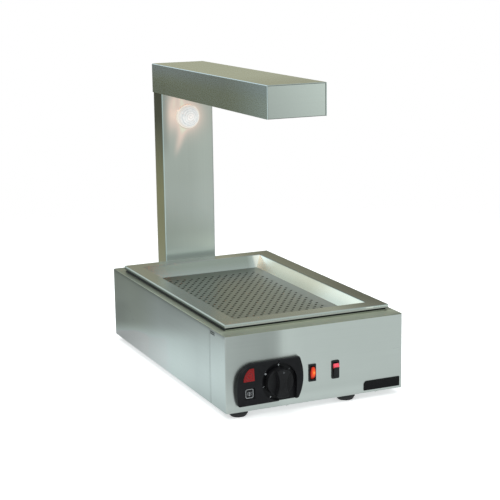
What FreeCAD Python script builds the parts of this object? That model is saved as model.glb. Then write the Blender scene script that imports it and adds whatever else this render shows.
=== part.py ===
import FreeCAD, Part
import os, math
from FreeCAD import Vector as V

os.makedirs("parts", exist_ok=True)

# ---------------------------------------------------------------------------
# Heat lamp warmer: a gastronorm food well with a perforated tray, a rear post
# and an overhead heater head.  Millimetres.
# Modelling frame: x to the right along the front, y to the rear, z up, with
# the body's front-left-bottom corner at 0,0,0 and the feet below z = 0.  On
# export everything is shifted so that the origin is the centre of the
# footprint box, on the plane the feet stand on.
# ---------------------------------------------------------------------------

# body
BODY_W, BODY_D, BODY_H = 350.0, 595.0, 140.0
T = 1.2                      # body sheet
BEND_R = 2.5                 # outside bend radius
SEAM_Y = 72.0                # front panel returns end here
SEAM_GAP = 0.6
FLANGE = 12.0                # in-turned flanges
FOOT_H = 12.0
COVER_T = 1.2                # bottom cover, under the flanges

# gastronorm 1/1 tray and pan
GN_W, GN_L = 325.0, 530.0
GN_X0, GN_Y0 = 12.5, 29.5
TRAY_TOP = 152.0
TRAY_LIP = 3.1
TRAY_T = 1.1
TRAY_OPEN_W, TRAY_OPEN_L = 265.0, 470.0
TRAY_FLOOR_Z = 128.0
TRAY_TAPER = 14.0
PAN_TOP = 148.6
PAN_LIP = 3.5
PAN_T = 1.0
PAN_DEPTH = 40.0
HOLE_R = 2.8
HOLE_PX, HOLE_PY = 15.5, 11.3
HOLE_COLS, HOLE_ROWS = 13, 33

# post
POST_W, POST_D = 113.5, 48.0
POST_Y0 = BODY_D
POST_TOP = 556.0
LAMP_Z = 449.0
LAMP_R = 23.5
LAMP_DOME = 19.0

# head
HEAD_W, HEAD_H = 116.5, 60.0
HEAD_Y0, HEAD_Y1 = 69.5, 645.0
HEAD_Z0 = 499.0

# controls
KNOB_X, KNOB_Z = 97.5, 49.0
KNOB_R = 25.0
KNOB_FRONT = -28.0
KNOB_REST = 2.0              # degrees clockwise from the off mark
SW1_X, SW1_Z = 166.8, 52.9
SW2_X, SW2_Z = 212.9, 53.0
ROCK_TILT = 8.0              # rocker tilt each way from its neutral

CX = BODY_W / 2
YMID = (KNOB_FRONT + HEAD_Y1) / 2
SHIFT = V(-CX, -YMID, FOOT_H)

nodes = {}


def put(name, shape):
    if isinstance(shape, (list, tuple)):
        shape = Part.makeCompound(list(shape))
    nodes[name] = shape


def box(x0, x1, y0, y1, z0, z1):
    return Part.makeBox(x1 - x0, y1 - y0, z1 - z0, V(x0, y0, z0))


def cyl(r, p, d, h):
    return Part.makeCylinder(r, h, V(*p), V(*d))


def cone(r0, r1, p, d, h):
    return Part.makeCone(r0, r1, h, V(*p), V(*d))


def fil(shape, r, test):
    e = [k for k in shape.Edges if test(k)]
    return shape.makeFillet(r, e)


def cha(shape, r, test):
    e = [k for k in shape.Edges if test(k)]
    return shape.makeChamfer(r, e)


def along(k, ax):
    a, b = k.Vertexes[0].Point, k.Vertexes[-1].Point
    d = b - a
    c = [abs(d.x), abs(d.y), abs(d.z)]
    i = "xyz".index(ax)
    return k.Curve.TypeId == "Part::GeomLine" and c[i] > 1e-6 and sum(c) - c[i] < 1e-6


def at(k, **kw):
    c = k.CenterOfMass
    return all(abs(getattr(c, a) - v) < 1e-4 for a, v in kw.items())


def rrect(x0, x1, y0, y1, z, r):
    """rounded rectangle wire in the XY plane at height z"""
    if r <= 0:
        return Part.makePolygon([V(x0, y0, z), V(x1, y0, z), V(x1, y1, z), V(x0, y1, z), V(x0, y0, z)])
    s = r * (1 - math.sqrt(0.5))
    e = [Part.makeLine(V(x0 + r, y0, z), V(x1 - r, y0, z)),
         Part.Arc(V(x1 - r, y0, z), V(x1 - s, y0 + s, z), V(x1, y0 + r, z)).toShape(),
         Part.makeLine(V(x1, y0 + r, z), V(x1, y1 - r, z)),
         Part.Arc(V(x1, y1 - r, z), V(x1 - s, y1 - s, z), V(x1 - r, y1, z)).toShape(),
         Part.makeLine(V(x1 - r, y1, z), V(x0 + r, y1, z)),
         Part.Arc(V(x0 + r, y1, z), V(x0 + s, y1 - s, z), V(x0, y1 - r, z)).toShape(),
         Part.makeLine(V(x0, y1 - r, z), V(x0, y0 + r, z)),
         Part.Arc(V(x0, y0 + r, z), V(x0 + s, y0 + s, z), V(x0 + r, y0, z)).toShape()]
    return Part.Wire(e)


def slab(x0, x1, y0, y1, z0, z1, r):
    return Part.Face(rrect(x0, x1, y0, y1, z0, r)).extrude(V(0, 0, z1 - z0))


def loft(w0, w1):
    return Part.makeLoft([w0, w1], True, True)


def prism(pts, ax, lo, hi):
    """polygon extruded along an axis; pts are the other two coordinates"""
    if ax == "x":
        p = [V(lo, a, b) for a, b in pts]
        d = V(hi - lo, 0, 0)
    elif ax == "y":
        p = [V(a, lo, b) for a, b in pts]
        d = V(0, hi - lo, 0)
    else:
        p = [V(a, b, lo) for a, b in pts]
        d = V(0, 0, hi - lo)
    return Part.Face(Part.makePolygon(p + [p[0]])).extrude(d)


def lathe(pts, p, d):
    """profile (radius, height) turned about the axis d through p"""
    pp = [V(r, 0, h) for r, h in pts]
    s = Part.Face(Part.makePolygon(pp + [pp[0]])).revolve(V(0, 0, 0), V(0, 0, 1), 360)
    rot = FreeCAD.Rotation(V(0, 0, 1), V(*d))
    s.Placement = FreeCAD.Placement(V(*p), rot)
    return s


def tube(pts, r, bend):
    """round bar along straight runs joined by tangent arcs"""
    P = [V(*p) for p in pts]
    edges, cur = [], P[0]
    for i in range(1, len(P) - 1):
        a = (P[i - 1] - P[i])
        b = (P[i + 1] - P[i])
        a.normalize()
        b.normalize()
        turn = math.pi - a.getAngle(b)
        bd = bend[i - 1] if isinstance(bend, (list, tuple)) else bend
        d = bd * math.tan(turn / 2)
        m = a + b
        m.normalize()
        c = P[i] + m * (bd / math.cos(turn / 2))
        t1, t2, mid = P[i] + a * d, P[i] + b * d, c - m * bd
        edges += [Part.makeLine(cur, t1), Part.Arc(t1, mid, t2).toShape()]
        cur = t2
    edges.append(Part.makeLine(cur, P[-1]))
    w = Part.Wire(edges)
    d0 = P[1] - P[0]
    prof = Part.Wire([Part.makeCircle(r, P[0], d0)])
    s = w.makePipeShell([prof], True, True)
    want = math.pi * r * r * w.Length
    if abs(s.Volume - want) > 0.01 * want:
        print("tube volume off", s.Volume, want)
    return s


def group(items):
    return list(items)


# ---------------------------------------------------------------------------
# body sheet metal
# ---------------------------------------------------------------------------
WALL_TOP = BODY_H - T        # walls stop under the deck plate

fp = box(0, BODY_W, 0, SEAM_Y, 0, WALL_TOP)
fp = fil(fp, BEND_R, lambda k: along(k, "z") and abs(k.CenterOfMass.y) < 1e-6)
cav = box(T, BODY_W - T, T, SEAM_Y + 20, T, WALL_TOP - T)
cav = fil(cav, BEND_R - T, lambda k: along(k, "z") and abs(k.CenterOfMass.y - T) < 1e-6)
win = box(T + FLANGE, BODY_W - T - FLANGE, T + FLANGE, SEAM_Y + 20, -5, BODY_H + 5)
fp = fp.cut(cav).cut(win)
# cut-outs for the thermostat bush, pilot lamp and the two rocker switches
fp = fp.cut(cyl(5.1, (KNOB_X, -5, KNOB_Z), (0, 1, 0), 10))
fp = fp.cut(cyl(5.1, (44.0, -5, 64.0), (0, 1, 0), 10))
fp = fp.cut(box(SW1_X - 6.6, SW1_X + 6.6, -5, 5, SW1_Z - 14.9, SW1_Z + 14.9))
fp = fp.cut(box(SW2_X - 6.8, SW2_X + 6.8, -5, 5, SW2_Z - 15.9, SW2_Z + 15.9))
# short cooling slots high on both returns
for zz in (131.0, 134.3):
    fp = fp.cut(box(-5, BODY_W + 5, 46.5, 66.5, zz - 1.0, zz + 1.0))
put("front_panel", fp)

Y1 = SEAM_Y + SEAM_GAP
# side panels: flanged top, bottom and rear, round the rear corners
REAR_FL = 14.0
SEAM_X = REAR_FL + SEAM_GAP


def side_panel():
    s = box(0, REAR_FL, Y1, BODY_D, 0, WALL_TOP)
    s = fil(s, BEND_R, lambda k: along(k, "z") and abs(k.CenterOfMass.y - BODY_D) < 1e-6 and abs(k.CenterOfMass.x) < 1e-6)
    c = box(T, 60, Y1 - 20, BODY_D - T, T, WALL_TOP - T)
    c = fil(c, BEND_R - T, lambda k: along(k, "z") and abs(k.CenterOfMass.y - BODY_D + T) < 1e-6 and abs(k.CenterOfMass.x - T) < 1e-6)
    s = s.cut(c).cut(box(T + FLANGE, 60, Y1 - 20, BODY_D - T, -5, BODY_H + 5))
    # joggled tab behind the front panel's return
    return s.fuse(box(T, 2 * T, SEAM_Y - 8, Y1 + 16, 14, 124)).removeSplitter()


left = side_panel()
put("side_panel_left", left)
put("side_panel_right", left.mirror(V(CX, 0, 0), V(1, 0, 0)))

# rear panel between them, with tabs behind their rear flanges
rp = box(SEAM_X, BODY_W - SEAM_X, BODY_D - T - FLANGE, BODY_D, 0, WALL_TOP)
rp = rp.cut(box(SEAM_X - 5, BODY_W - SEAM_X + 5, BODY_D - T - FLANGE - 5, BODY_D - T, T, WALL_TOP - T))
for x0, x1 in ((3.0, SEAM_X + 4), (BODY_W - SEAM_X - 4, BODY_W - 3.0)):
    rp = rp.fuse(box(x0, x1, BODY_D - 2 * T, BODY_D - T, 14, 124))
# gland, wiring, post bolt and earth stud holes
GLAND_X, GLAND_Z = 298.0, 40.0
WIRE_X, WIRE_Z = CX, 60.0
EARTH_X = 322.5
rp = rp.cut(cyl(8.1, (GLAND_X, BODY_D - 10, GLAND_Z), (0, 1, 0), 20))
rp = rp.cut(cyl(9.0, (WIRE_X, BODY_D - 10, WIRE_Z), (0, 1, 0), 20))
POST_BOLTS = [(CX - 38, 22), (CX + 38, 22), (CX - 38, 118), (CX + 38, 118)]
for bx, bz in POST_BOLTS:
    rp = rp.cut(cyl(3.3, (bx, BODY_D - 10, bz), (0, 1, 0), 20))
rp = rp.cut(cyl(2.6, (EARTH_X, BODY_D - 10, 30), (0, 1, 0), 20))
put("rear_panel", rp.removeSplitter())

deck = box(0, BODY_W, 0, BODY_D, WALL_TOP, BODY_H)
deck = fil(deck, BEND_R, lambda k: along(k, "z"))
deck = fil(deck, 1.0, lambda k: abs(k.CenterOfMass.z - BODY_H) < 1e-6)
deck = deck.cut(slab(33, 317, 50, 539, WALL_TOP - 5, BODY_H + 5, 14))
put("deck_plate", deck)

bp = slab(3, BODY_W - 3, 3, BODY_D - 3, -COVER_T, 0, 4)
for row in (190.0, 400.0):
    for i in range(9):
        x = CX - 96 + 24 * i
        bp = bp.cut(slab(x - 2.5, x + 2.5, row - 30, row + 30, -5, 5, 2.49))
FEET = [(31.5, 21.0), (244.0, 21.0), (31.5, 574.0), (318.5, 574.0)]
for fx, fy in FEET:
    bp = bp.cut(cyl(2.6, (fx, fy, -5), (0, 0, 1), 10))
COVER_SCREWS = [(8, 50), (8, 297), (8, 545), (342, 50), (342, 297), (342, 545), (120, 8), (300, 8), (120, 587), (230, 587)]
for sx, sy in COVER_SCREWS:
    bp = bp.cut(cyl(1.9, (sx, sy, -5), (0, 0, 1), 10))
put("bottom_cover", bp)

screws = []
for sx, sy in COVER_SCREWS:
    h = lathe([(0, 0), (3.4, 0), (3.4, 1.0), (2.2, 2.0), (0, 2.0)], (sx, sy, -COVER_T), (0, 0, -1))
    screws.append(h.fuse(cyl(1.8, (sx, sy, -COVER_T - 0.5), (0, 0, 1), COVER_T + 0.5)))
cover_screws = screws

feet, fscrews = [], []
for fx, fy in FEET:
    hgt = FOOT_H - COVER_T
    f = lathe([(2.55, 0), (17.0, 0), (17.5, 1.2), (17.5, 5.0), (15.0, hgt - 1.6), (13.4, hgt), (6.0, hgt), (6.0, hgt - 6.5), (2.55, hgt - 6.5)],
              (fx, fy, -COVER_T), (0, 0, -1))
    feet.append(f)
    hz = -COVER_T - (hgt - 6.5)
    s = lathe([(0, 0), (4.7, 0), (4.7, 1.6), (3.2, 3.2), (0, 3.2)], (fx, fy, hz), (0, 0, -1))
    s = s.fuse(cyl(2.4, (fx, fy, hz - 0.5), (0, 0, 1), -hz + 0.5 + 6.0))
    n = Part.Face(Part.makePolygon([V(fx + 4.6 * math.cos(math.radians(60 * i)), fy + 4.6 * math.sin(math.radians(60 * i)), 0.0) for i in range(7)])).extrude(V(0, 0, 3.6))
    s = s.fuse(n)
    fscrews.append(s)
put("feet", feet)
put("foot_screws", fscrews)

# ---------------------------------------------------------------------------
# heated well under the deck
# ---------------------------------------------------------------------------
hx0, hx1, hy0, hy1, hz0 = 30.0, 320.0, 46.0, 543.0, 85.0
well = slab(hx0 - 1, hx1 + 1, hy0 - 1, hy1 + 1, hz0 - 1, WALL_TOP, 9)
well = well.fuse(slab(hx0 - 9, hx1 + 9, hy0 - 9, hy1 + 9, WALL_TOP - 1, WALL_TOP, 12))
well = well.cut(slab(hx0, hx1, hy0, hy1, hz0, WALL_TOP + 5, 8))
EL_Z, EL_R = 97.0, 4.0
for ex in (70.0, 280.0):
    well = well.cut(cyl(5.2, (ex, hy0 - 12, EL_Z), (0, 1, 0), 24))
BULB_X = CX
well = well.cut(cyl(4.0, (BULB_X, 110, hz0 - 5), (0, 0, 1), 10))
put("heated_well", well)

el_pts = [(70, 24, EL_Z), (70, 500, EL_Z), (140, 500, EL_Z), (140, 92, EL_Z), (210, 92, EL_Z), (210, 500, EL_Z), (280, 500, EL_Z), (280, 24, EL_Z)]
put("base_element", tube(el_pts, EL_R, 34.9))
put("element_bushes", [lathe([(4.05, 0), (5.0, 0), (5.0, 3.0), (7.5, 3.0), (7.5, 7.0), (4.05, 7.0)], (ex, hy0 + 2.0, EL_Z), (0, -1, 0)) for ex in (70.0, 280.0)])
sup = []
for yy in (165.0, 290.0, 415.0):
    b = box(52, 298, yy - 7, yy + 7, 91.4, 92.9).fuse(box(52, 298, yy - 7, yy + 7, 101.1, 102.6))
    for xx in (105.0, 175.0, 245.0):
        if xx != BULB_X:
            b = b.fuse(cyl(2.4, (xx, yy, 91.4), (0, 0, 1), 13.6))
            b = b.fuse(cyl(4.0, (xx, yy, 102.6), (0, 0, 1), 2.4))
    for xx in (52.0, 296.8):
        b = b.fuse(box(xx, xx + 1.2, yy - 7, yy + 7, hz0, 92.9))
    sup.append(b.removeSplitter())
put("element_supports", sup)

# raised rim folded round the opening, with the seal on it
RIM_TOP = BODY_H + 2.4
RIM_IN = 1.8
rim = slab(GN_X0 + RIM_IN, GN_X0 + GN_W - RIM_IN, GN_Y0 + RIM_IN, GN_Y0 + GN_L - RIM_IN, BODY_H, RIM_TOP, 2.0)
RIM_IN += T
rim = rim.cut(slab(GN_X0 + RIM_IN, GN_X0 + GN_W - RIM_IN, GN_Y0 + RIM_IN, GN_Y0 + GN_L - RIM_IN, BODY_H - 5, RIM_TOP - T, 1.0).cut(slab(32.3 - T, 317.7 + T, 49.3 - T, 539.7 + T, BODY_H - 5, RIM_TOP - T, 13)))
rim = rim.cut(slab(32.3, 317.7, 49.3, 539.7, BODY_H - 5, RIM_TOP + 5, 12))
rim = fil(rim, 1.1, lambda k: abs(k.CenterOfMass.z - RIM_TOP) < 1e-5 and (k.BoundBox.XMin < GN_X0 + 5 or k.BoundBox.XMax > GN_X0 + GN_W - 5))
put("well_rim", rim)
seal = slab(GN_X0 + 3.0, GN_X0 + GN_W - 3.0, GN_Y0 + 3.0, GN_Y0 + GN_L - 3.0, RIM_TOP, PAN_TOP - PAN_T - 0.3, 3).cut(slab(33.0, 317.0, 50.0, 539.0, BODY_H - 5, PAN_TOP, 12))
put("well_seal", seal)

# ---------------------------------------------------------------------------
# drip pan and perforated tray (each lifts out)
# ---------------------------------------------------------------------------
gx0, gx1, gy0, gy1 = GN_X0, GN_X0 + GN_W, GN_Y0, GN_Y0 + GN_L
pt = PAN_T
px0, px1, py0, py1 = 37.5, 312.5, 54.5, 534.5
pz0 = PAN_TOP - PAN_DEPTH
tp = 4.0
outer = loft(rrect(px0 - pt, px1 + pt, py0 - pt, py1 + pt, PAN_TOP - pt, 13), rrect(px0 + tp - pt, px1 - tp + pt, py0 + tp - pt, py1 - tp + pt, pz0, 13))
inner = loft(rrect(px0, px1, py0, py1, PAN_TOP, 12), rrect(px0 + tp, px1 - tp, py0 + tp, py1 - tp, pz0 + pt, 12))
pan = outer.fuse(slab(gx0, gx1, gy0, gy1, PAN_TOP - pt, PAN_TOP, 0.0))
lip = slab(gx0, gx1, gy0, gy1, PAN_TOP - PAN_LIP, PAN_TOP - pt, 0.0).cut(slab(gx0 + pt, gx1 - pt, gy0 + pt, gy1 - pt, PAN_TOP - 10, PAN_TOP, 0.0))
pan = pan.fuse(lip).cut(inner).removeSplitter()
pan = fil(pan, 0.7, lambda k: abs(k.CenterOfMass.z - PAN_TOP) < 1e-5 and (abs(k.CenterOfMass.x - gx0) < 1e-4 or abs(k.CenterOfMass.x - gx1) < 1e-4 or abs(k.CenterOfMass.y - gy0) < 1e-4 or abs(k.CenterOfMass.y - gy1) < 1e-4))
# the floor plate is seam-welded into the ring of the walls and flange
plate = slab(px0 + tp, px1 - tp, py0 + tp, py1 - tp, pz0, pz0 + pt, 12)
put("drip_pan", [pan.cut(plate), plate])

tt = TRAY_T
tx0 = gx0 + (GN_W - TRAY_OPEN_W) / 2
tx1 = tx0 + TRAY_OPEN_W
ty0 = gy0 + (GN_L - TRAY_OPEN_L) / 2
ty1 = ty0 + TRAY_OPEN_L
slope = TRAY_TAPER / (TRAY_TOP - TRAY_FLOOR_Z)
zb = TRAY_FLOOR_Z - 2.0
ht = tt / math.cos(math.atan(slope))      # wall thickness measured level


def sloped(z_hi, z_lo, grow):
    a = (TRAY_TOP - z_hi) * slope - grow
    b = (TRAY_TOP - z_lo) * slope - grow
    return loft(rrect(tx0 + a, tx1 - a, ty0 + a, ty1 - a, z_hi, 0), rrect(tx0 + b, tx1 - b, ty0 + b, ty1 - b, z_lo, 0))


frame = sloped(TRAY_TOP - 0.5, zb, ht)
frame = frame.fuse(slab(gx0, gx1, gy0, gy1, TRAY_TOP - tt, TRAY_TOP, 0.0))
lip = slab(gx0, gx1, gy0, gy1, TRAY_TOP - TRAY_LIP, TRAY_TOP - tt, 0.0).cut(slab(gx0 + tt, gx1 - tt, gy0 + tt, gy1 - tt, TRAY_TOP - 10, TRAY_TOP, 0.0))
frame = frame.fuse(lip)
frame = frame.cut(sloped(TRAY_TOP, TRAY_FLOOR_Z - 1.0, 0.0))
led = TRAY_TAPER + 10.0
frame = frame.cut(slab(tx0 + led, tx1 - led, ty0 + led, ty1 - led, zb - 5, TRAY_TOP, 0.0)).removeSplitter()
frame = fil(frame, 0.9, lambda k: abs(k.CenterOfMass.z - TRAY_TOP) < 1e-5 and (abs(k.CenterOfMass.x - gx0) < 1e-4 or abs(k.CenterOfMass.x - gx1) < 1e-4 or abs(k.CenterOfMass.y - gy0) < 1e-4 or abs(k.CenterOfMass.y - gy1) < 1e-4))
put("tray_frame", frame)

fl = TRAY_TAPER + 0.6
ring = [rrect(tx0 + fl, tx1 - fl, ty0 + fl, ty1 - fl, TRAY_FLOOR_Z - 1.0, 0)]
hx = CX - HOLE_PX * (HOLE_COLS - 1) / 2
hy = gy0 + GN_L / 2 - HOLE_PY * (HOLE_ROWS - 1) / 2
for r in range(HOLE_ROWS):
    odd = r % 2
    for c in range(HOLE_COLS - odd):
        ring.append(Part.Wire([Part.makeCircle(HOLE_R, V(hx + HOLE_PX * (c + 0.5 * odd), hy + HOLE_PY * r, TRAY_FLOOR_Z - 1.0))]))
put("tray_floor", Part.Face(ring, "Part::FaceMakerCheese").extrude(V(0, 0, 1.0)))

# ---------------------------------------------------------------------------
# post
# ---------------------------------------------------------------------------
qx0, qx1 = CX - POST_W / 2, CX + POST_W / 2
qy1 = POST_Y0 + POST_D
post = box(qx0, qx1, POST_Y0, qy1, 2, POST_TOP)
post = fil(post, 2.0, lambda k: along(k, "z") and abs(k.CenterOfMass.y - POST_Y0) < 1e-6)
cav = box(qx0 + T, qx1 - T, POST_Y0 + T, qy1 - T, -5, POST_TOP + 5)
cav = fil(cav, 0.8, lambda k: along(k, "z") and abs(k.CenterOfMass.y - POST_Y0 - T) < 1e-6)
post = post.cut(cav).cut(box(qx0 + T + 11, qx1 - T - 11, qy1 - 5, qy1 + 5, -5, POST_TOP + 5))
post = post.cut(cyl(24.6, (CX, POST_Y0 - 5, LAMP_Z), (0, 1, 0), 12))
post = post.cut(cyl(9.0, (WIRE_X, POST_Y0 - 5, WIRE_Z), (0, 1, 0), 12))
HARN_X, HARN_Z = 136.0, 534.0
post = post.cut(cyl(6.0, (HARN_X, POST_Y0 - 5, HARN_Z), (0, 1, 0), 12))
for bx, bz in POST_BOLTS:
    post = post.cut(cyl(3.3, (bx, POST_Y0 - 5, bz), (0, 1, 0), 12))
HEAD_BOLTS = [(CX - 18, 515.0), (CX + 18, 515.0), (CX - 18, 543.0), (CX + 18, 543.0)]
for bx, bz in HEAD_BOLTS:
    post = post.cut(cyl(2.7, (bx, POST_Y0 - 5, bz), (0, 1, 0), 12))
PCS = [(sx, sz) for sx in (qx0 + 6.5, qx1 - 6.5) for sz in (30.0, 250.0, 470.0)]
for sx, sz in PCS:
    post = post.cut(cyl(1.9, (sx, qy1 - 5, sz), (0, 1, 0), 10))
put("post_channel", post)

pc = box(qx0 + 1.2, qx1 - 1.2, qy1, qy1 + T, 2, HEAD_Z0 - 3)
pc = fil(pc, 3.0, lambda k: along(k, "y"))
pc = pc.fuse(box(qx0 + 1.5 + 11, qx1 - 1.5 - 11, POST_Y0 + 4, qy1 + 0.4, 2, 3.2)).removeSplitter()
for i in range(6):
    zz = 380.0 + 10 * i
    pc = pc.cut(box(CX - 22, CX + 22, qy1 - 1, qy1 + 5, zz - 1.75, zz + 1.75))
for sx, sz in PCS:
    pc = pc.cut(cyl(1.9, (sx, qy1 - 5, sz), (0, 1, 0), 10))
put("post_rear_cover", pc)

cover_screws += [lathe([(0, 0), (3.3, 0), (3.0, 0.5), (1.6, 0.75), (0, 0.75)], (sx, qy1 + T, sz), (0, 1, 0)).fuse(cyl(1.8, (sx, qy1 - 3.0, sz), (0, 1, 0), 4.6)) for sx, sz in PCS]
put("cover_screws", cover_screws)


def hexbar(af, x, y, z, ln):
    r = af / math.sqrt(3)
    pts = [V(x + r * math.cos(math.radians(60 * i + 30)), y, z + r * math.sin(math.radians(60 * i + 30))) for i in range(7)]
    return Part.Face(Part.makePolygon(pts)).extrude(V(0, ln, 0))


pb = []
for bx, bz in POST_BOLTS:
    b = hexbar(10, bx, POST_Y0 + T, bz, 4.0).fuse(cyl(3.0, (bx, BODY_D - T - 8, bz), (0, 1, 0), 12))
    pb.append(b.fuse(hexbar(10, bx, BODY_D - T - 5.0, bz, 5.0)))
put("post_bolts", pb)

# wiring grommet between the body and the post
put("wire_grommet", lathe([(6.0, -3.0), (10.8, -3.0), (10.8, -T - 0.0), (8.8, -T - 0.0), (8.8, T), (10.8, T), (10.8, 3.0), (6.0, 3.0)], (WIRE_X, BODY_D, WIRE_Z), (0, 1, 0)))

# lamp in the post's front face
put("lamp_ring", lathe([(23.75, 0.0), (26.5, 0.0), (26.0, 1.6), (24.6, 2.2), (23.75, 2.2)], (CX, POST_Y0, LAMP_Z), (0, -1, 0)))
steps = 7
prof = [(0.0, -4.5), (24.2, -4.5), (24.2, -1.4), (LAMP_R, -1.4), (LAMP_R, 2.0)]
inn = []
for i in range(1, steps + 1):
    a = math.radians(90.0 * i / steps)
    r, h = LAMP_R * math.cos(a), 2.0 + (LAMP_DOME - 2.0) * math.sin(a)
    a0 = math.radians(90.0 * (i - 0.45) / steps)
    prof.append((LAMP_R * math.cos(a0) + 0.25, 2.0 + (LAMP_DOME - 2.0) * math.sin(a0) + 0.25))
    prof.append((max(r, 0.0), h))
glass = lathe(prof, (CX, POST_Y0, LAMP_Z), (0, -1, 0))
hp = [(0.0, 0.0), (LAMP_R - 3.0, 0.0)]
for i in range(1, 9):
    a = math.radians(90.0 * i / 8)
    hp.append((max((LAMP_R - 3.0) * math.cos(a), 0.0), (LAMP_DOME - 3.5) * math.sin(a)))
glass = glass.cut(lathe(hp, (CX, POST_Y0, LAMP_Z), (0, -1, 0))).cut(cyl(LAMP_R - 3.0, (CX, POST_Y0 - 0.01, LAMP_Z), (0, 1, 0), 10))
put("lamp_glass", glass)
cup = lathe([(24.9, 1.4), (28.5, 1.4), (28.5, 2.4), (25.9, 2.4), (25.9, 30.0), (8.0, 30.0), (8.0, 29.0), (24.9, 29.0)], (CX, POST_Y0, LAMP_Z), (0, 1, 0))
put("lamp_housing", cup.cut(cyl(8.6, (CX, POST_Y0 + 15.5, LAMP_Z - 40), (0, 0, 1), 30)))
put("lamp_holder", lathe([(0, 0), (8.0, 0), (8.0, 20.0), (7.0, 22.0), (6.0, 22.0), (6.0, 6.0), (0, 6.0)], (CX, POST_Y0 + 15.5, LAMP_Z - 36.5), (0, 0, 1)))
put("lamp_bulb", lathe([(0, 0), (5.6, 0), (5.6, 15.0), (6.6, 19.0), (9.5, 27.0), (11.0, 34.0), (10.4, 40.0), (7.6, 45.5), (3.6, 48.5), (0, 49.0)], (CX, POST_Y0 + 15.5, LAMP_Z - 30.3), (0, 0, 1)))

# ---------------------------------------------------------------------------
# overhead head
# ---------------------------------------------------------------------------
ex0, ex1 = CX - HEAD_W / 2, CX + HEAD_W / 2
hz1 = HEAD_Z0 + HEAD_H
cover = box(ex0, ex1, HEAD_Y0, HEAD_Y1, HEAD_Z0, hz1)
cover = fil(cover, 1.8, lambda k: along(k, "y") and abs(k.CenterOfMass.z - hz1) < 1e-6)
cav = box(ex0 + T, ex1 - T, HEAD_Y0 - 5, HEAD_Y1 + 5, HEAD_Z0 - 5, hz1 - T)
cav = fil(cav, 0.6, lambda k: along(k, "y") and abs(k.CenterOfMass.z - hz1 + T) < 1e-6)
cover = cover.cut(cav)
LIP_Y0, LIP_Y1 = HEAD_Y0 + 16.0, POST_Y0 - 3.0
for a, b in ((ex0 + 0.5, ex0 + T + 8), (ex1 - T - 8, ex1 - 0.5)):
    cover = cover.fuse(box(a, b, LIP_Y0, LIP_Y1, HEAD_Z0, HEAD_Z0 + T))
put("head_cover", cover.removeSplitter())

cap = box(ex0 + T, ex1 - T, HEAD_Y0 + 1.0, HEAD_Y0 + 15.0, HEAD_Z0, hz1 - T)
cap = fil(cap, 0.75, lambda k: along(k, "y") and abs(k.CenterOfMass.z - hz1 + T) < 1e-6)
cap = fil(cap, 0.5, lambda k: abs(k.CenterOfMass.y - HEAD_Y0 - 1.0) < 1e-6)
cap = cap.cut(box(ex0 + 2 * T, ex1 - 2 * T, HEAD_Y0 + 1.0 + T, HEAD_Y0 + 25, HEAD_Z0 + T, hz1 - 2 * T))
put("head_front_cap", cap)

rcap = box(ex0 + T, ex1 - T, HEAD_Y1 - 1.4, HEAD_Y1 - 0.2, HEAD_Z0, hz1 - T)
rcap = fil(rcap, 0.75, lambda k: along(k, "y") and abs(k.CenterOfMass.z - hz1 + T) < 1e-6)
rcap = rcap.fuse(box(ex0 + T + 4, ex1 - T - 4, HEAD_Y1 - 16, HEAD_Y1 - 0.8, hz1 - 1.6, hz1 - T)).removeSplitter()
put("head_rear_cap", rcap)

hb = box(CX - 27, CX + 27, POST_Y0 - 1.5, POST_Y0, HEAD_Z0 + 6, hz1 - T)
hb = hb.fuse(box(CX - 27, CX + 27, POST_Y0 - 60, POST_Y0, hz1 - T - 1.5, hz1 - T))
for gx in (CX - 27, CX + 25.5):
    hb = hb.fuse(prism([(POST_Y0 - 1.0, hz1 - T - 1.0), (POST_Y0 - 10, hz1 - T - 1.0), (POST_Y0 - 1.0, HEAD_Z0 + 8)], "x", gx, gx + 1.5))
for bx, bz in HEAD_BOLTS:
    hb = hb.cut(cyl(2.7, (bx, POST_Y0 - 5, bz), (0, 1, 0), 12))
put("head_bracket", hb.removeSplitter())
hbolts = []
for bx, bz in HEAD_BOLTS:
    b = hexbar(8, bx, POST_Y0 + T, bz, 3.5).fuse(cyl(2.5, (bx, POST_Y0 - 1.5 - 5.5, bz), (0, 1, 0), 9))
    hbolts.append(b.fuse(hexbar(8, bx, POST_Y0 - 1.5 - 4.0, bz, 4.0)))
put("head_bolts", hbolts)

# reflector trough
RY0, RY1 = HEAD_Y0 + 16.0, POST_Y0 - 13.0
rt = 0.8
oz, tz = HEAD_Z0 + 6.4, HEAD_Z0 + 48.0
out = [(CX - 50, oz), (CX - 30, tz), (CX + 30, tz), (CX + 50, oz), (CX + 54.5, oz), (CX + 54.5, oz + rt), (CX + 50 + 0.55, oz + rt), (CX + 30.4, tz + rt), (CX - 30.4, tz + rt), (CX - 50 - 0.55, oz + rt), (CX - 54.5, oz + rt), (CX - 54.5, oz)]
put("reflector", prism(out, "y", RY0, RY1))

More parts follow.
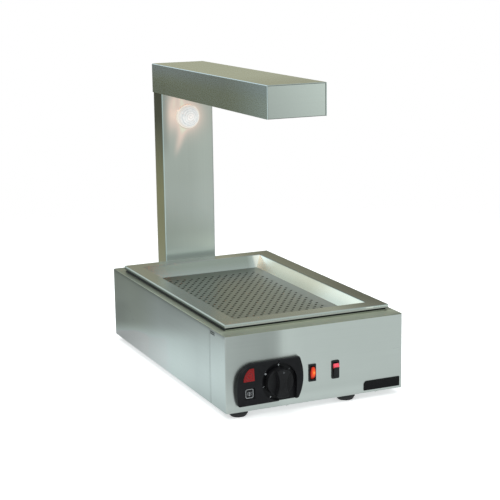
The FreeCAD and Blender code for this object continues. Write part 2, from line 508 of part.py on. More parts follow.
TUBE_Z = HEAD_Z0 + 26.0
TUBES = (CX - 21.0, CX + 21.0)
BY0, BY1 = RY0 + 14.0, RY1 - 14.0
br = []
for yy in (BY0, BY1):
    b = prism([(CX - 45.5, oz + 2.5), (CX - 29.0, tz - 2.0), (CX + 29.0, tz - 2.0), (CX + 45.5, oz + 2.5)], "y", yy - 0.6, yy + 0.6)
    b = b.fuse(box(CX - 26, CX + 26, min(yy, yy + (8 if yy < 300 else -8)), max(yy, yy + (8 if yy < 300 else -8)), tz - 1.2, tz))
    b = b.fuse(box(CX - 26, CX + 26, yy - 0.6, yy + 0.6, tz - 4.0, tz))
    for tx in TUBES:
        b = b.cut(cyl(7.1, (tx, yy - 12, TUBE_Z), (0, 1, 0), 24))
    br.append(b.removeSplitter())
put("tube_brackets", br)
tubes, coils, caps = [], [], []
for tx in TUBES:
    t = cyl(5.5, (tx, BY0 + 6.0, TUBE_Z), (0, 1, 0), BY1 - BY0 - 12.0).cut(cyl(4.4, (tx, BY0, TUBE_Z), (0, 1, 0), BY1 - BY0))
    tubes.append(t)
    coils.append(cyl(2.2, (tx, BY0 + 6.1, TUBE_Z), (0, 1, 0), BY1 - BY0 - 12.2))
    for yy, s in ((BY0, 1), (BY1, -1)):
        c = lathe([(0, -9.0), (4.5, -9.0), (7.0, -7.0), (7.0, 1.0), (8.6, 1.0), (8.6, 12.0), (5.6, 12.0), (5.6, 6.0), (0, 6.0)], (tx, yy, TUBE_Z), (0, s, 0))
        caps.append(c)
put("quartz_tubes", tubes)
put("heating_coils", coils)
put("tube_end_ceramics", caps)

wr = 1.25
wires = []
zc = HEAD_Z0 + T + wr + 0.1
n = 18
for i in range(n):
    yy = RY0 + 4 + (RY1 - RY0 - 8) * i / (n - 1)
    wires.append(cyl(wr, (ex0 + T + 1.5, yy, zc), (1, 0, 0), HEAD_W - 2 * T - 3.0))
for i in range(5):
    xx = CX - 44 + 22 * i
    wires.append(cyl(wr, (xx, RY0 + 1.5, zc + 2.1), (0, 1, 0), RY1 - RY0 - 3.0))
g = wires[0].multiFuse(wires[1:])
put("wire_guard", g)

# head terminal block behind the reflector
htb = box(CX - 20, CX + 20, POST_Y0 - 11.3, POST_Y0 - 1.5 - 4.3, HEAD_Z0 + 24, HEAD_Z0 + 36)
for i in range(4):
    htb = htb.cut(cyl(2.0, (CX - 15 + 10 * i, POST_Y0 - 20, HEAD_Z0 + 30), (0, 1, 0), 12))
put("head_terminal_block", htb)

# ---------------------------------------------------------------------------
# controls
# ---------------------------------------------------------------------------
def arc_xz(a, m, b, y=0.0):
    return Part.Arc(V(a[0], y, a[1]), V(m[0], y, m[1]), V(b[0], y, b[1])).toShape()


def lin_xz(a, b, y=0.0):
    return Part.makeLine(V(a[0], y, a[1]), V(b[0], y, b[1]))


def edge_at(sh, r, pts):
    e = [k for k in sh.Edges if along(k, "y") and any(abs(k.CenterOfMass.x - p[0]) < 0.5 and abs(k.CenterOfMass.z - p[1]) < 0.5 for p in pts)]
    return sh.makeFillet(r, e)


outline = Part.Wire([lin_xz((21.2, 11.0), (136.6, 12.6)),
                     arc_xz((136.6, 12.6), (145.0, 50.2), (139.6, 88.4)),
                     lin_xz((139.6, 88.4), (50.0, 86.9)),
                     arc_xz((50.0, 86.9), (30.2, 78.6), (19.4, 60.0)),
                     arc_xz((19.4, 60.0), (17.3, 36.0), (21.2, 11.0))])
bez = Part.Face(outline).extrude(V(0, -14.0, 0))
bez = edge_at(bez, 4.0, [(21.2, 11.0), (136.6, 12.6)])
bez = edge_at(bez, 3.2, [(139.6, 88.4)])
CROWN_R, BEZ_MID = 220.0, 11.6


def crown(extra=0.0):
    return Part.makeCylinder(CROWN_R + extra, 200.0, V(-20, CROWN_R - BEZ_MID, 49.2), V(1, 0, 0))


bez = bez.common(crown())
bez = bez.makeFillet(3.0, [k for k in bez.Edges if k.CenterOfMass.y < -5.5 and not abs(k.Vertexes[0].Point.y - k.Vertexes[-1].Point.y) > 5])
RING_R = 33.7
bez = bez.cut(cyl(RING_R, (KNOB_X, -30, KNOB_Z), (0, 1, 0), 27.2))
bez = bez.cut(box(KNOB_X, KNOB_X + RING_R, -30, -2.8, 0, KNOB_Z))
# hollow back and central hole
core = outline.makeOffset2D(-4.5)
core = Part.Face(core).extrude(V(0, -1.2, 0))
bez = bez.cut(core.cut(cyl(14.0, (KNOB_X, -5, KNOB_Z), (0, 1, 0), 10)))
bez = bez.cut(cyl(5.4, (KNOB_X, -30, KNOB_Z), (0, 1, 0), 40))
# pointer notch above the ring
bez = bez.cut(prism([(KNOB_X - 1.9, 88.5), (KNOB_X + 1.9, 88.5), (KNOB_X + 1.2, 81.5), (KNOB_X - 1.2, 81.5)], "y", -30, -7.2))
# lens pocket and lens
LENS = [(28.4, 56.4), (50.0, 56.8), (49.8, 79.6), (41.4, 79.2)]
lw = Part.Wire([lin_xz(LENS[0], LENS[1], 0), lin_xz(LENS[1], LENS[2], 0), lin_xz(LENS[2], LENS[3], 0), arc_xz(LENS[3], (33.0, 71.2), LENS[0], 0)])
lw_in = lw.makeOffset2D(-0.35)
bez = bez.cut(Part.Face(lw).extrude(V(0, -30, 0)).common(box(0, 200, -30, -6.0, 0, 200)))
bez = bez.cut(cyl(5.1, (44.0, -30, 64.0), (0, 1, 0), 40))
lens = Part.Face(lw_in).extrude(V(0, -30, 0)).common(crown(0.35)).common(box(0, 200, -30, -6.1, 0, 200))
put("indicator_lens", lens)
put("pilot_lamp", lathe([(0, 0), (4.4, 0), (4.8, 8.0), (4.8, 26.0), (3.0, 27.0), (0, 27.0)], (44.0, -5.2, 64.0), (0, 1, 0)))
# icon tile
bez = bez.cut(box(30.5, 50.5, -30, -7.6, 24.5, 44.5))
tile = box(30.8, 50.2, -9.0, -7.6, 24.8, 44.2)
put("icon_tile", fil(tile, 1.2, lambda k: along(k, "y")))
put("control_bezel", bez)

# thermostat
tb = box(77, 118, T, 38, 30, 68)
tb = fil(tb, 2.0, lambda k: along(k, "y"))
tb = tb.fuse(cyl(4.9, (KNOB_X, -2.2, KNOB_Z), (0, 1, 0), 6)).cut(cyl(3.05, (KNOB_X, -10, KNOB_Z), (0, 1, 0), 24)).removeSplitter()
put("thermostat", tb)
ts = cyl(3.0, (KNOB_X, -20.0, KNOB_Z), (0, 1, 0), 33.0)
ts = ts.cut(box(KNOB_X - 5, KNOB_X + 5, -25, -8, KNOB_Z + 1.6, KNOB_Z + 6))
ts.rotate(V(KNOB_X, 0, KNOB_Z), V(0, 1, 0), KNOB_REST)
put("thermostat_shaft", ts)
cap_pts = [(KNOB_X, 30, 68.0), (KNOB_X, 30, 77.5), (BULB_X, 30, 77.5), (BULB_X, 110, 77.5), (BULB_X, 110, EL_Z), (BULB_X, 122, EL_Z)]
capil = tube(cap_pts, 0.9, [4, 12, 12, 6])
capil = capil.fuse(cyl(3.0, (BULB_X, 120, EL_Z), (0, 1, 0), 95.0))
put("thermostat_bulb", capil.removeSplitter())

kb = cyl(KNOB_R, (KNOB_X, -3.8, KNOB_Z), (0, -1, 0), -KNOB_FRONT - 3.8)
for s in (-1, 1):
    kb = kb.cut(cyl(46.0, (KNOB_X + s * (46.0 + 6.8), -16.5, KNOB_Z), (0, -1, 0), 30))
kb = fil(kb, 1.6, lambda k: k.CenterOfMass.y < -16.0 and k.Length > 8 and not along(k, "y") and (k.CenterOfMass.y < -27.9 or (k.Curve.TypeId == "Part::GeomCircle" and abs(k.Curve.Radius - KNOB_R) < 0.1 and abs(k.CenterOfMass.y + 16.5) < 0.1)))
kb = kb.cut(cyl(21.5, (KNOB_X, -3.0, KNOB_Z), (0, -1, 0), 9.0).cut(cyl(6.0, (KNOB_X, -3.0, KNOB_Z), (0, -1, 0), 9.5)))
bore = cyl(3.04, (KNOB_X, -3.0, KNOB_Z), (0, -1, 0), 17.3).cut(box(KNOB_X - 5, KNOB_X + 5, -21, -8.05, KNOB_Z + 1.64, KNOB_Z + 6))
kb = kb.cut(bore)
kb.rotate(V(KNOB_X, 0, KNOB_Z), V(0, 1, 0), KNOB_REST)
put("thermostat_knob", kb)

# rocker switches
PIV_Y = 2.0


def switch(x, z, fw, fh, corner, ow, oh, bw, bh):
    f = box(x - fw, x + fw, -1.9, 0, z - fh, z + fh)
    f = fil(f, corner, lambda k: along(k, "y"))
    f = fil(f, 0.6, lambda k: abs(k.CenterOfMass.y + 1.9) < 1e-6)
    b = f.fuse(box(x - bw, x + bw, -1.0, 22.0, z - bh, z + bh))
    b = b.cut(box(x - ow, x + ow, -5, 9.0, z - oh, z + oh))
    b = b.cut(cyl(1.05, (x - ow - 1.0, PIV_Y, z), (1, 0, 0), 2 * ow + 2.0))
    return b.removeSplitter()


put("heater_switch_body", switch(SW1_X, SW1_Z, 7.2, 15.95, 0.8, 4.9, 12.6, 6.4, 14.7))
put("lamp_switch_body", switch(SW2_X, SW2_Z, 7.6, 17.0, 2.6, 5.3, 13.4, 6.6, 15.7))


def pins(x, z, w, ow):
    return cyl(1.0, (x - ow - 0.8, PIV_Y, z), (1, 0, 0), 2 * ow + 1.6)


def tilt(s, z, sign):
    s.rotate(V(0, PIV_Y, z), V(1, 0, 0), sign * ROCK_TILT)
    return s


# heater rocker: a lens with a ridge across its middle
r1 = prism([(-5.6, SW1_Z), (-4.6, SW1_Z + 4.5), (-1.6, SW1_Z + 11.7), (4.6, SW1_Z + 7.5), (4.6, SW1_Z - 7.5), (-1.6, SW1_Z - 11.7), (-4.6, SW1_Z - 4.5)], "x", SW1_X - 4.5, SW1_X + 4.5)
r1 = fil(r1, 0.7, lambda k: along(k, "x") is False and k.CenterOfMass.y < -1.0 and abs(abs(k.CenterOfMass.x - SW1_X) - 4.5) < 1e-4)
r1 = r1.fuse(pins(SW1_X, SW1_Z, 4.5, 4.9))
put("heater_rocker", tilt(r1, SW1_Z, 1))
# lamp rocker: coloured body with a dark face plate below its top lug
r2 = prism([(-2.9, SW2_Z - 12.3), (-3.4, SW2_Z), (-4.6, SW2_Z + 5.0), (-6.3, SW2_Z + 6.6), (-2.4, SW2_Z + 12.4), (4.6, SW2_Z + 8.0), (4.6, SW2_Z - 8.0), (-1.4, SW2_Z - 12.3)], "x", SW2_X - 4.9, SW2_X + 4.9)
r2 = r2.fuse(pins(SW2_X, SW2_Z, 4.9, 5.3))
put("lamp_rocker", tilt(r2, SW2_Z, 1))
rf = prism([(-2.9, SW2_Z - 12.3), (-3.4, SW2_Z), (-4.6, SW2_Z + 5.0), (-6.3, SW2_Z + 6.6), (-7.1, SW2_Z + 6.0), (-5.4, SW2_Z + 4.2), (-4.5, SW2_Z), (-4.0, SW2_Z - 12.3)], "x", SW2_X - 4.5, SW2_X + 4.9)
put("lamp_rocker_face", tilt(rf, SW2_Z, 1))

tabs = []
for sx, sz in ((SW1_X, SW1_Z), (SW2_X, SW2_Z)):
    for dz in (-9.0, 0.0, 9.0):
        tabs.append(box(sx - 3.15, sx + 3.15, 22.0, 30.0, sz + dz - 0.4, sz + dz + 0.4))
for dx in (-10.0, 10.0):
    tabs.append(box(KNOB_X + dx - 3.15, KNOB_X + dx + 3.15, 38.0, 46.0, 41.6, 42.4))
put("spade_terminals", tabs)

# plain plate low on the right of the front
bd = prism([(270.6, 4.4), (344.4, 4.4), (344.4, 22.2), (270.6, 22.2)], "y", -0.9, 0)
bd = fil(bd, 7.0, lambda k: along(k, "y") and at(k, x=270.6, z=22.2))
put("blank_plate", fil(bd, 1.0, lambda k: along(k, "y") and (at(k, x=270.6, z=4.4) or at(k, x=344.4, z=4.4) or at(k, x=344.4, z=22.2))))

# ---------------------------------------------------------------------------
# rear connections and wiring
# ---------------------------------------------------------------------------
CORD_R = 3.6
gl = lathe([(CORD_R, -5.6), (7.9, -5.6), (7.9, T + 0.0), (CORD_R, T + 0.0)], (GLAND_X, BODY_D - T, GLAND_Z), (0, 1, 0))
gl = gl.fuse(hexbar(22, GLAND_X, BODY_D, GLAND_Z, 5.0).cut(cyl(CORD_R, (GLAND_X, BODY_D - 5, GLAND_Z), (0, 1, 0), 30)))
gl = gl.fuse(lathe([(CORD_R, 4.9), (9.6, 4.9), (9.6, 12.0), (7.4, 16.5), (5.4, 18.0), (CORD_R, 18.0)], (GLAND_X, BODY_D, GLAND_Z), (0, 1, 0)))
put("cable_gland", gl.removeSplitter())
ln = hexbar(22, GLAND_X, BODY_D - T - 5.0, GLAND_Z, 5.0).cut(cyl(7.95, (GLAND_X, BODY_D - 20, GLAND_Z), (0, 1, 0), 30))
put("gland_locknut", ln)

tbk = box(232, 272, BODY_D - T - 16.0, BODY_D - T, 30, 50)
for i in range(4):
    tbk = tbk.cut(cyl(2.2, (237 + 10 * i, BODY_D - 25, 45), (0, 1, 0), 14))
    tbk = tbk.cut(cyl(2.4, (237 + 10 * i, BODY_D - 25, 35), (0, 1, 0), 14))
put("terminal_block", tbk)
es = cyl(2.5, (EARTH_X, BODY_D - T - 14, 30), (0, 1, 0), 14 + T).fuse(hexbar(8, EARTH_X, BODY_D - T - 4.0, 30, 4.0)).fuse(lathe([(0, 0), (4.6, 0), (4.0, 1.6), (0, 2.2)], (EARTH_X, BODY_D, 30), (0, 1, 0)))
put("earth_stud", es)

bh = tube([(262.0, BODY_D - T - 16.0, 45.0), (262.0, 90.0, 45.0), (200.0, 44.0, 45.0), (140.0, 44.0, 45.0)], 3.5, [35.0, 30.0])
put("base_harness", bh)
ph = tube([(242.0, BODY_D - T - 16.0, 45.0), (242.0, 566.0, 45.0), (CX, 566.0, WIRE_Z), (CX, 622.0, WIRE_Z), (HARN_X, 624.0, 110.0), (HARN_X, 624.0, HARN_Z), (HARN_X, 588.0, HARN_Z)], 3.5, [5.5, 16.0, 14.0, 14.0, 12.0])
put("post_harness", ph)

# ---------------------------------------------------------------------------
# export
# ---------------------------------------------------------------------------
bb = None
total = 0.0
for name, s in nodes.items():
    s = s.copy()
    s.translate(SHIFT)
    solids = s.Solids
    ok = s.isValid() and len(solids) > 0 and all(k.isClosed() for k in solids)
    if not ok:
        print("PROBLEM", name, s.isValid(), len(solids))
    s = solids[0] if len(solids) == 1 else Part.makeCompound(solids)
    s.exportStep("parts/%s.step" % name)
    b = s.BoundBox
    bb = b if bb is None else bb.united(b)
    print("%-22s solids %3d  vol %10.1f  x %7.1f %7.1f  y %7.1f %7.1f  z %6.1f %6.1f" % (name, len(solids), s.Volume, b.XMin, b.XMax, b.YMin, b.YMax, b.ZMin, b.ZMax))
print("nodes", len(nodes), "shift", SHIFT, "box", bb.XMin, bb.XMax, bb.YMin, bb.YMax, bb.ZMin, bb.ZMax)
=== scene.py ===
import math

import bmesh
import bpy
from mathutils import Matrix, Vector


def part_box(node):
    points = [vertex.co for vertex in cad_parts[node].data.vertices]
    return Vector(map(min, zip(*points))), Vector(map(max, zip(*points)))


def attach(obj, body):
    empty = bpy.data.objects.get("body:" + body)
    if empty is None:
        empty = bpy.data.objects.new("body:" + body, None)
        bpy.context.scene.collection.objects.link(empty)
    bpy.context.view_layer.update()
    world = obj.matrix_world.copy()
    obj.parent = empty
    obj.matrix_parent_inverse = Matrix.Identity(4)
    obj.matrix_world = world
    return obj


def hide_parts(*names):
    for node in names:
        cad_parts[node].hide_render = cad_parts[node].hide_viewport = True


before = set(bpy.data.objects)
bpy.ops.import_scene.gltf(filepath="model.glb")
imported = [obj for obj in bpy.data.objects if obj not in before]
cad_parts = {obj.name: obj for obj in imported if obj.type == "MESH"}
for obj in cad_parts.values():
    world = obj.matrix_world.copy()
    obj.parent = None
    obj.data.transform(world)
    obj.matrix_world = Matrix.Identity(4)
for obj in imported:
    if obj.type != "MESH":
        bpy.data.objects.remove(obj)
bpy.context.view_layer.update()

scene = bpy.context.scene
scene.view_settings.view_transform = "Standard"
scene.view_settings.look = "None"

# ---------------------------------------------------------------------------
# camera
# ---------------------------------------------------------------------------
AZ, EL, ROLL = math.radians(-23.93), math.radians(12.05), math.radians(-0.84)
back = Vector((math.sin(AZ) * math.cos(EL), -math.cos(AZ) * math.cos(EL), math.sin(EL)))
fwd = -back
right = fwd.cross(Vector((0, 0, 1))).normalized()
up = right.cross(fwd)
right2 = right * math.cos(ROLL) + up * math.sin(ROLL)
up2 = -right * math.sin(ROLL) + up * math.cos(ROLL)
cam_data = bpy.data.cameras.new("camera")
cam_data.lens = 100.92
cam_data.sensor_width = 36.0
cam_data.sensor_fit = "HORIZONTAL"
cam_data.clip_start, cam_data.clip_end = 0.05, 60.0
cam = bpy.data.objects.new("camera", cam_data)
scene.collection.objects.link(cam)
pos = Vector((-1.0751, -2.4484, 0.7990))
cam.matrix_world = Matrix(((right2.x, up2.x, back.x, pos.x),
                           (right2.y, up2.y, back.y, pos.y),
                           (right2.z, up2.z, back.z, pos.z),
                           (0, 0, 0, 1)))
scene.camera = cam

# ---------------------------------------------------------------------------
# places taken from the frame
# ---------------------------------------------------------------------------
FRONT_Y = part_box("front_panel")[0].y            # face of the front panel
FLOOR_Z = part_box("feet")[0].z
b0, b1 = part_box("thermostat_shaft")
KX, KZ = (b0.x + b1.x) / 2, (b0.z + b1.z) / 2   # knob axis
b0, b1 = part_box("lamp_glass")
LX, LZ, LY = (b0.x + b1.x) / 2, (b0.z + b1.z) / 2, b0.y
LR = (b1.x - b0.x) / 2
b0, b1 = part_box("icon_tile")
TX, TZ, TY = (b0.x + b1.x) / 2, (b0.z + b1.z) / 2, b0.y
KNOB_ANGLE = math.radians(2.0)


# ---------------------------------------------------------------------------
# node helpers
# ---------------------------------------------------------------------------
class Mat:
    """A Principled material with short helpers for its node tree."""

    def __init__(self, name, **kw):
        self.m = bpy.data.materials.new(name)
        self.m.use_nodes = True
        self.t = self.m.node_tree
        self.t.nodes.clear()
        self.out = self.t.nodes.new("ShaderNodeOutputMaterial")
        self.b = self.t.nodes.new("ShaderNodeBsdfPrincipled")
        self.t.links.new(self.b.outputs[0], self.out.inputs[0])
        self.co = self.t.nodes.new("ShaderNodeTexCoord").outputs["Object"]
        for k, v in kw.items():
            self.set(k, v)

    def set(self, name, v):
        s = self.b.inputs[name.replace("_", " ")]
        if isinstance(v, bpy.types.NodeSocket):
            self.t.links.new(v, s)
        else:
            s.default_value = v if not isinstance(v, tuple) or len(v) == 4 or s.type == "VECTOR" else (*v, 1.0)
        return self

    def put(self, sock, v):
        if isinstance(v, bpy.types.NodeSocket):
            self.t.links.new(v, sock)
        elif isinstance(v, tuple) and sock.type == "RGBA" and len(v) == 3:
            sock.default_value = (*v, 1.0)
        else:
            sock.default_value = v

    def math(self, op, a, b=0.0, c=0.0, clamp=False):
        n = self.t.nodes.new("ShaderNodeMath")
        n.operation = op
        n.use_clamp = clamp
        for s, v in zip(n.inputs, (a, b, c)):
            self.put(s, v)
        return n.outputs[0]

    def scale(self, sx, sy, sz, loc=(0.0, 0.0, 0.0), rot=(0.0, 0.0, 0.0), co=None):
        n = self.t.nodes.new("ShaderNodeMapping")
        n.inputs["Scale"].default_value = (sx, sy, sz)
        n.inputs["Location"].default_value = loc
        n.inputs["Rotation"].default_value = rot
        self.t.links.new(co or self.co, n.inputs["Vector"])
        return n.outputs[0]

    def noise(self, co, scale=1.0, detail=2.0, rough=0.5, distortion=0.0):
        n = self.t.nodes.new("ShaderNodeTexNoise")
        n.noise_dimensions = "3D"
        self.t.links.new(co, n.inputs["Vector"])
        n.inputs["Scale"].default_value = scale
        n.inputs["Detail"].default_value = detail
        n.inputs["Roughness"].default_value = rough
        n.inputs["Distortion"].default_value = distortion
        return n.outputs["Fac"]

    def voronoi(self, co, scale=1.0, feature="F1"):
        n = self.t.nodes.new("ShaderNodeTexVoronoi")
        n.feature = feature
        self.t.links.new(co, n.inputs["Vector"])
        n.inputs["Scale"].default_value = scale
        return n.outputs["Distance"]

    def remap(self, v, a0, a1, b0=0.0, b1=1.0, smooth=False):
        n = self.t.nodes.new("ShaderNodeMapRange")
        n.interpolation_type = "SMOOTHSTEP" if smooth else "LINEAR"
        n.clamp = True
        self.put(n.inputs[0], v)
        for i, x in enumerate((a0, a1, b0, b1)):
            n.inputs[i + 1].default_value = x
        return n.outputs[0]

    def mix(self, fac, a, b, kind="MIX"):
        n = self.t.nodes.new("ShaderNodeMix")
        n.data_type = "RGBA"
        n.blend_type = kind
        n.clamp_factor = True
        self.put(n.inputs[0], fac)
        self.put(n.inputs[6], a)
        self.put(n.inputs[7], b)
        return n.outputs[2]

    def ramp(self, v, stops):
        n = self.t.nodes.new("ShaderNodeValToRGB")
        self.put(n.inputs[0], v)
        e = n.color_ramp.elements
        while len(e) > len(stops):
            e.remove(e[-1])
        while len(e) < len(stops):
            e.new(0.5)
        for k, (p, c) in zip(e, stops):
            k.position = p
            k.color = (*c, 1.0) if len(c) == 3 else c
        return n.outputs[0]

    def curve(self, v, pts):
        """A factor that follows pts, as (place, factor) pairs, along v."""
        a, b = pts[0][0], pts[-1][0]
        c = self.ramp(self.remap(v, a, b), [((p - a) / (b - a), (f / 2, f / 2, f / 2)) for p, f in pts])
        return self.math("MULTIPLY", c, 2.0)

    def xyz(self, co=None):
        n = self.t.nodes.new("ShaderNodeSeparateXYZ")
        self.t.links.new(co or self.co, n.inputs[0])
        return n.outputs[0], n.outputs[1], n.outputs[2]

    def bump(self, height, strength=0.2, dist=0.001, prev=None):
        n = self.t.nodes.new("ShaderNodeBump")
        n.inputs["Strength"].default_value = strength
        n.inputs["Distance"].default_value = dist
        self.t.links.new(height, n.inputs["Height"])
        if prev is not None:
            self.t.links.new(prev, n.inputs["Normal"])
        return n.outputs[0]

    def tangent(self, v):
        n = self.t.nodes.new("ShaderNodeCombineXYZ")
        for i in range(3):
            n.inputs[i].default_value = v[i]
        self.set("Tangent", n.outputs[0])

    def dist(self, p, co=None):
        n = self.t.nodes.new("ShaderNodeVectorMath")
        n.operation = "DISTANCE"
        self.t.links.new(co or self.co, n.inputs[0])
        n.inputs[1].default_value = p
        return n.outputs["Value"]


def steel(name, grain, cross, color=(0.60, 0.63, 0.605), rough=0.30, aniso=0.7, tone=0.05, streak=0.028, seed=0.0, grade=None, bump=0.06, rvar=0.018, metal=1.0):
    """Brushed stainless: grain is the axis of the brushing, cross the direction it spreads highlights."""
    m = Mat(name, Metallic=metal)
    fine = {"x": (6.0, 900.0, 900.0), "y": (900.0, 6.0, 900.0), "z": (900.0, 900.0, 6.0)}[grain]
    mid = {"x": (2.2, 160.0, 160.0), "y": (160.0, 2.2, 160.0), "z": (160.0, 160.0, 2.2)}[grain]
    lines = m.noise(m.scale(*fine, loc=(seed, seed * 2, seed * 3)), 1.0, 3.0, 0.6)
    bands = m.noise(m.scale(*mid, loc=(seed * 4, seed, seed * 2)), 1.0, 2.0, 0.5)
    cloud = m.noise(m.scale(7.0, 7.0, 7.0, loc=(seed * 3, seed * 5, seed)), 1.0, 3.0, 0.55)
    smear = m.noise(m.scale(26.0, 26.0, 26.0, loc=(seed, seed * 7, seed)), 1.0, 4.0, 0.6)
    v = m.math("ADD", m.math("MULTIPLY", lines, 0.7), m.math("MULTIPLY", bands, 0.3))
    dark = tuple(c * (1.0 - streak) for c in color)
    light = tuple(min(1.0, c * (1.0 + streak)) for c in color)
    col = m.mix(m.remap(v, 0.30, 0.70), dark, light)
    tint = tuple(c * k for c, k in zip(color, (1.0 - tone, 1.0 - tone * 0.85, 1.0 - tone * 1.1)))
    col = m.mix(m.remap(cloud, 0.35, 0.68, 0.0, 0.8, True), col, m.mix(0.5, col, tint, "MIX"))
    # grade multiplies painted light and shade into the colour, laid out over object coordinates
    if grade is not None:
        col = m.mix(1.0, col, grade(m), "MULTIPLY")
    m.set("Base_Color", col)
    r = m.math("ADD", m.remap(lines, 0.3, 0.7, rough - rvar, rough + rvar), m.remap(smear, 0.3, 0.7, -rvar * 0.66, rvar * 0.66))
    m.set("Roughness", r)
    m.b.inputs["Anisotropic"].default_value = aniso
    m.tangent(cross)
    m.set("Normal", m.bump(lines, bump, 0.00005))
    return m


def plastic(name, color, rough=0.4, grain=0.25, size=2600.0, spec=0.5, coat=0.0, tone=0.25):
    m = Mat(name)
    n1 = m.noise(m.scale(size, size, size), 1.0, 2.0, 0.5)
    n2 = m.noise(m.scale(60.0, 60.0, 60.0), 1.0, 3.0, 0.6)
    lo = tuple(c * (1 - tone) for c in color)
    hi = tuple(min(1.0, c * (1 + tone)) for c in color)
    m.set("Base_Color", m.mix(m.remap(n2, 0.3, 0.7), lo, hi))
    m.set("Roughness", m.math("ADD", m.remap(n1, 0.3, 0.7, rough - 0.04, rough + 0.04), m.remap(n2, 0.3, 0.7, -0.03, 0.03)))
    m.b.inputs["Specular IOR Level"].default_value = spec
    m.b.inputs["Coat Weight"].default_value = coat
    m.b.inputs["Coat Roughness"].default_value = 0.2
    m.set("Normal", m.bump(n1, grain, 0.00008))
    return m


def give(node, mat):
    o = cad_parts[node]
    m = mat.m if isinstance(mat, Mat) else mat
    if not o.material_slots:
        o.data.materials.append(m)
    for s in o.material_slots:
        s.material = m


# ---------------------------------------------------------------------------
# materials
# ---------------------------------------------------------------------------
S_COL = (0.60, 0.63, 0.605)
TRAY_C = (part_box("tray_frame")[0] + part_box("tray_frame")[1]) / 2
TRAY_HX = (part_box("tray_frame")[1].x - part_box("tray_frame")[0].x) / 2
TRAY_HY = (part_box("tray_frame")[1].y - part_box("tray_frame")[0].y) / 2
TRAY_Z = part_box("tray_frame")[1].z


SEAM = (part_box("front_panel")[1].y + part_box("side_panel_left")[0].y) / 2


def side_painted_light(m):
    """Painted reflection on the sides: a little brighter low down and toward the front."""
    x, y, z = m.xyz()
    # the room's bright lower half shows in it along level lines, which run across the panel
    back = m.math("ADD", y, 0.3085)
    down = m.math("SUBTRACT", 0.151, z)
    q = m.math("ADD", m.math("MULTIPLY", back, -0.1026), m.math("MULTIPLY", down, m.math("SUBTRACT", 0.585, m.math("MULTIPLY", back, 0.135))))
    upper = m.curve(y, [(-0.30, 1.10), (-0.145, 1.12), (-0.06, 1.13), (0.023, 1.19), (0.107, 1.09), (0.19, 1.02), (0.23, 0.92), (0.30, 0.84)])
    upper = m.math("MULTIPLY", upper, m.math("ADD", 1.0, m.math("MULTIPLY", m.remap(q, -0.031, -0.021, 1.0, 0.0, True), m.remap(y, 0.12, 0.28, 0.0, 0.17, True))))
    lower = m.curve(y, [(-0.30, 1.15), (-0.176, 1.21), (-0.09, 1.46), (-0.008, 1.62), (0.075, 1.66), (0.16, 2.05), (0.30, 2.1)])
    k = m.remap(q, -0.006, 0.014, 0.0, 1.0, True)
    f = m.math("ADD", m.math("MULTIPLY", upper, m.math("SUBTRACT", 1.0, k)), m.math("MULTIPLY", lower, k))
    f = m.mix(1.0, m.mix(k, m.mix(m.remap(y, 0.16, 0.0, 0.0, 1.0, True), (0.99, 1.02, 0.96), (0.99, 1.02, 1.04)), (0.98, 1.03, 1.06)), f, "MULTIPLY")
    # soft shade of the rolled top edge and of the seam behind the front panel
    top = m.curve(z, [(0.132, 1.0), (0.144, 0.94), (0.1475, 0.76), (0.1508, 0.46)])
    seam = m.remap(m.math("ABSOLUTE", m.math("SUBTRACT", y, SEAM)), 0.0003, 0.0012, 0.62, 1.0, True)
    # the cut walls of the small louvres are in shadow
    slot = m.math("MULTIPLY", m.remap(m.math("ABSOLUTE", x), 0.1745, 0.1748, 1.0, 0.0, True), m.remap(m.math("ABSOLUTE", m.math("ADD", y, 0.252)), 0.0108, 0.0114, 0.92, 0.0, True))
    slot = m.math("SUBTRACT", 1.0, m.math("MULTIPLY", slot, m.remap(z, 0.138, 0.140, 0.0, 1.0, True)))
    return m.mix(1.0, f, m.math("MULTIPLY", m.math("MULTIPLY", top, seam), slot), "MULTIPLY")


def front_painted_light(m):
    """A broad duller painted reflection on the left of the front, up to the dial."""
    x, y, z = m.xyz()
    f = m.curve(x, [(-0.175, 0.76), (-0.145, 0.69), (-0.098, 0.65), (-0.084, 0.68), (-0.076, 0.76), (-0.064, 1.0), (-0.054, 1.05), (-0.02, 1.0), (0.175, 1.0)])
    # the painted reflection fades out lower down, and the lowest part of the front is painted brighter
    f = m.mix(m.remap(z, 0.085, 0.030, 0.0, 0.72, True), f, (1.0, 1.0, 1.0))
    f = m.mix(1.0, f, m.remap(z, 0.036, 0.020, 1.0, 1.16, True), "MULTIPLY")
    # painted shade of the deck's bend along the very top of the front
    f = m.mix(m.remap(z, 0.1502, 0.1507), f, (0.72, 0.71, 0.63))
    return m.mix(m.remap(y, FRONT_Y + 0.001, FRONT_Y + 0.003), f, side_painted_light(m))


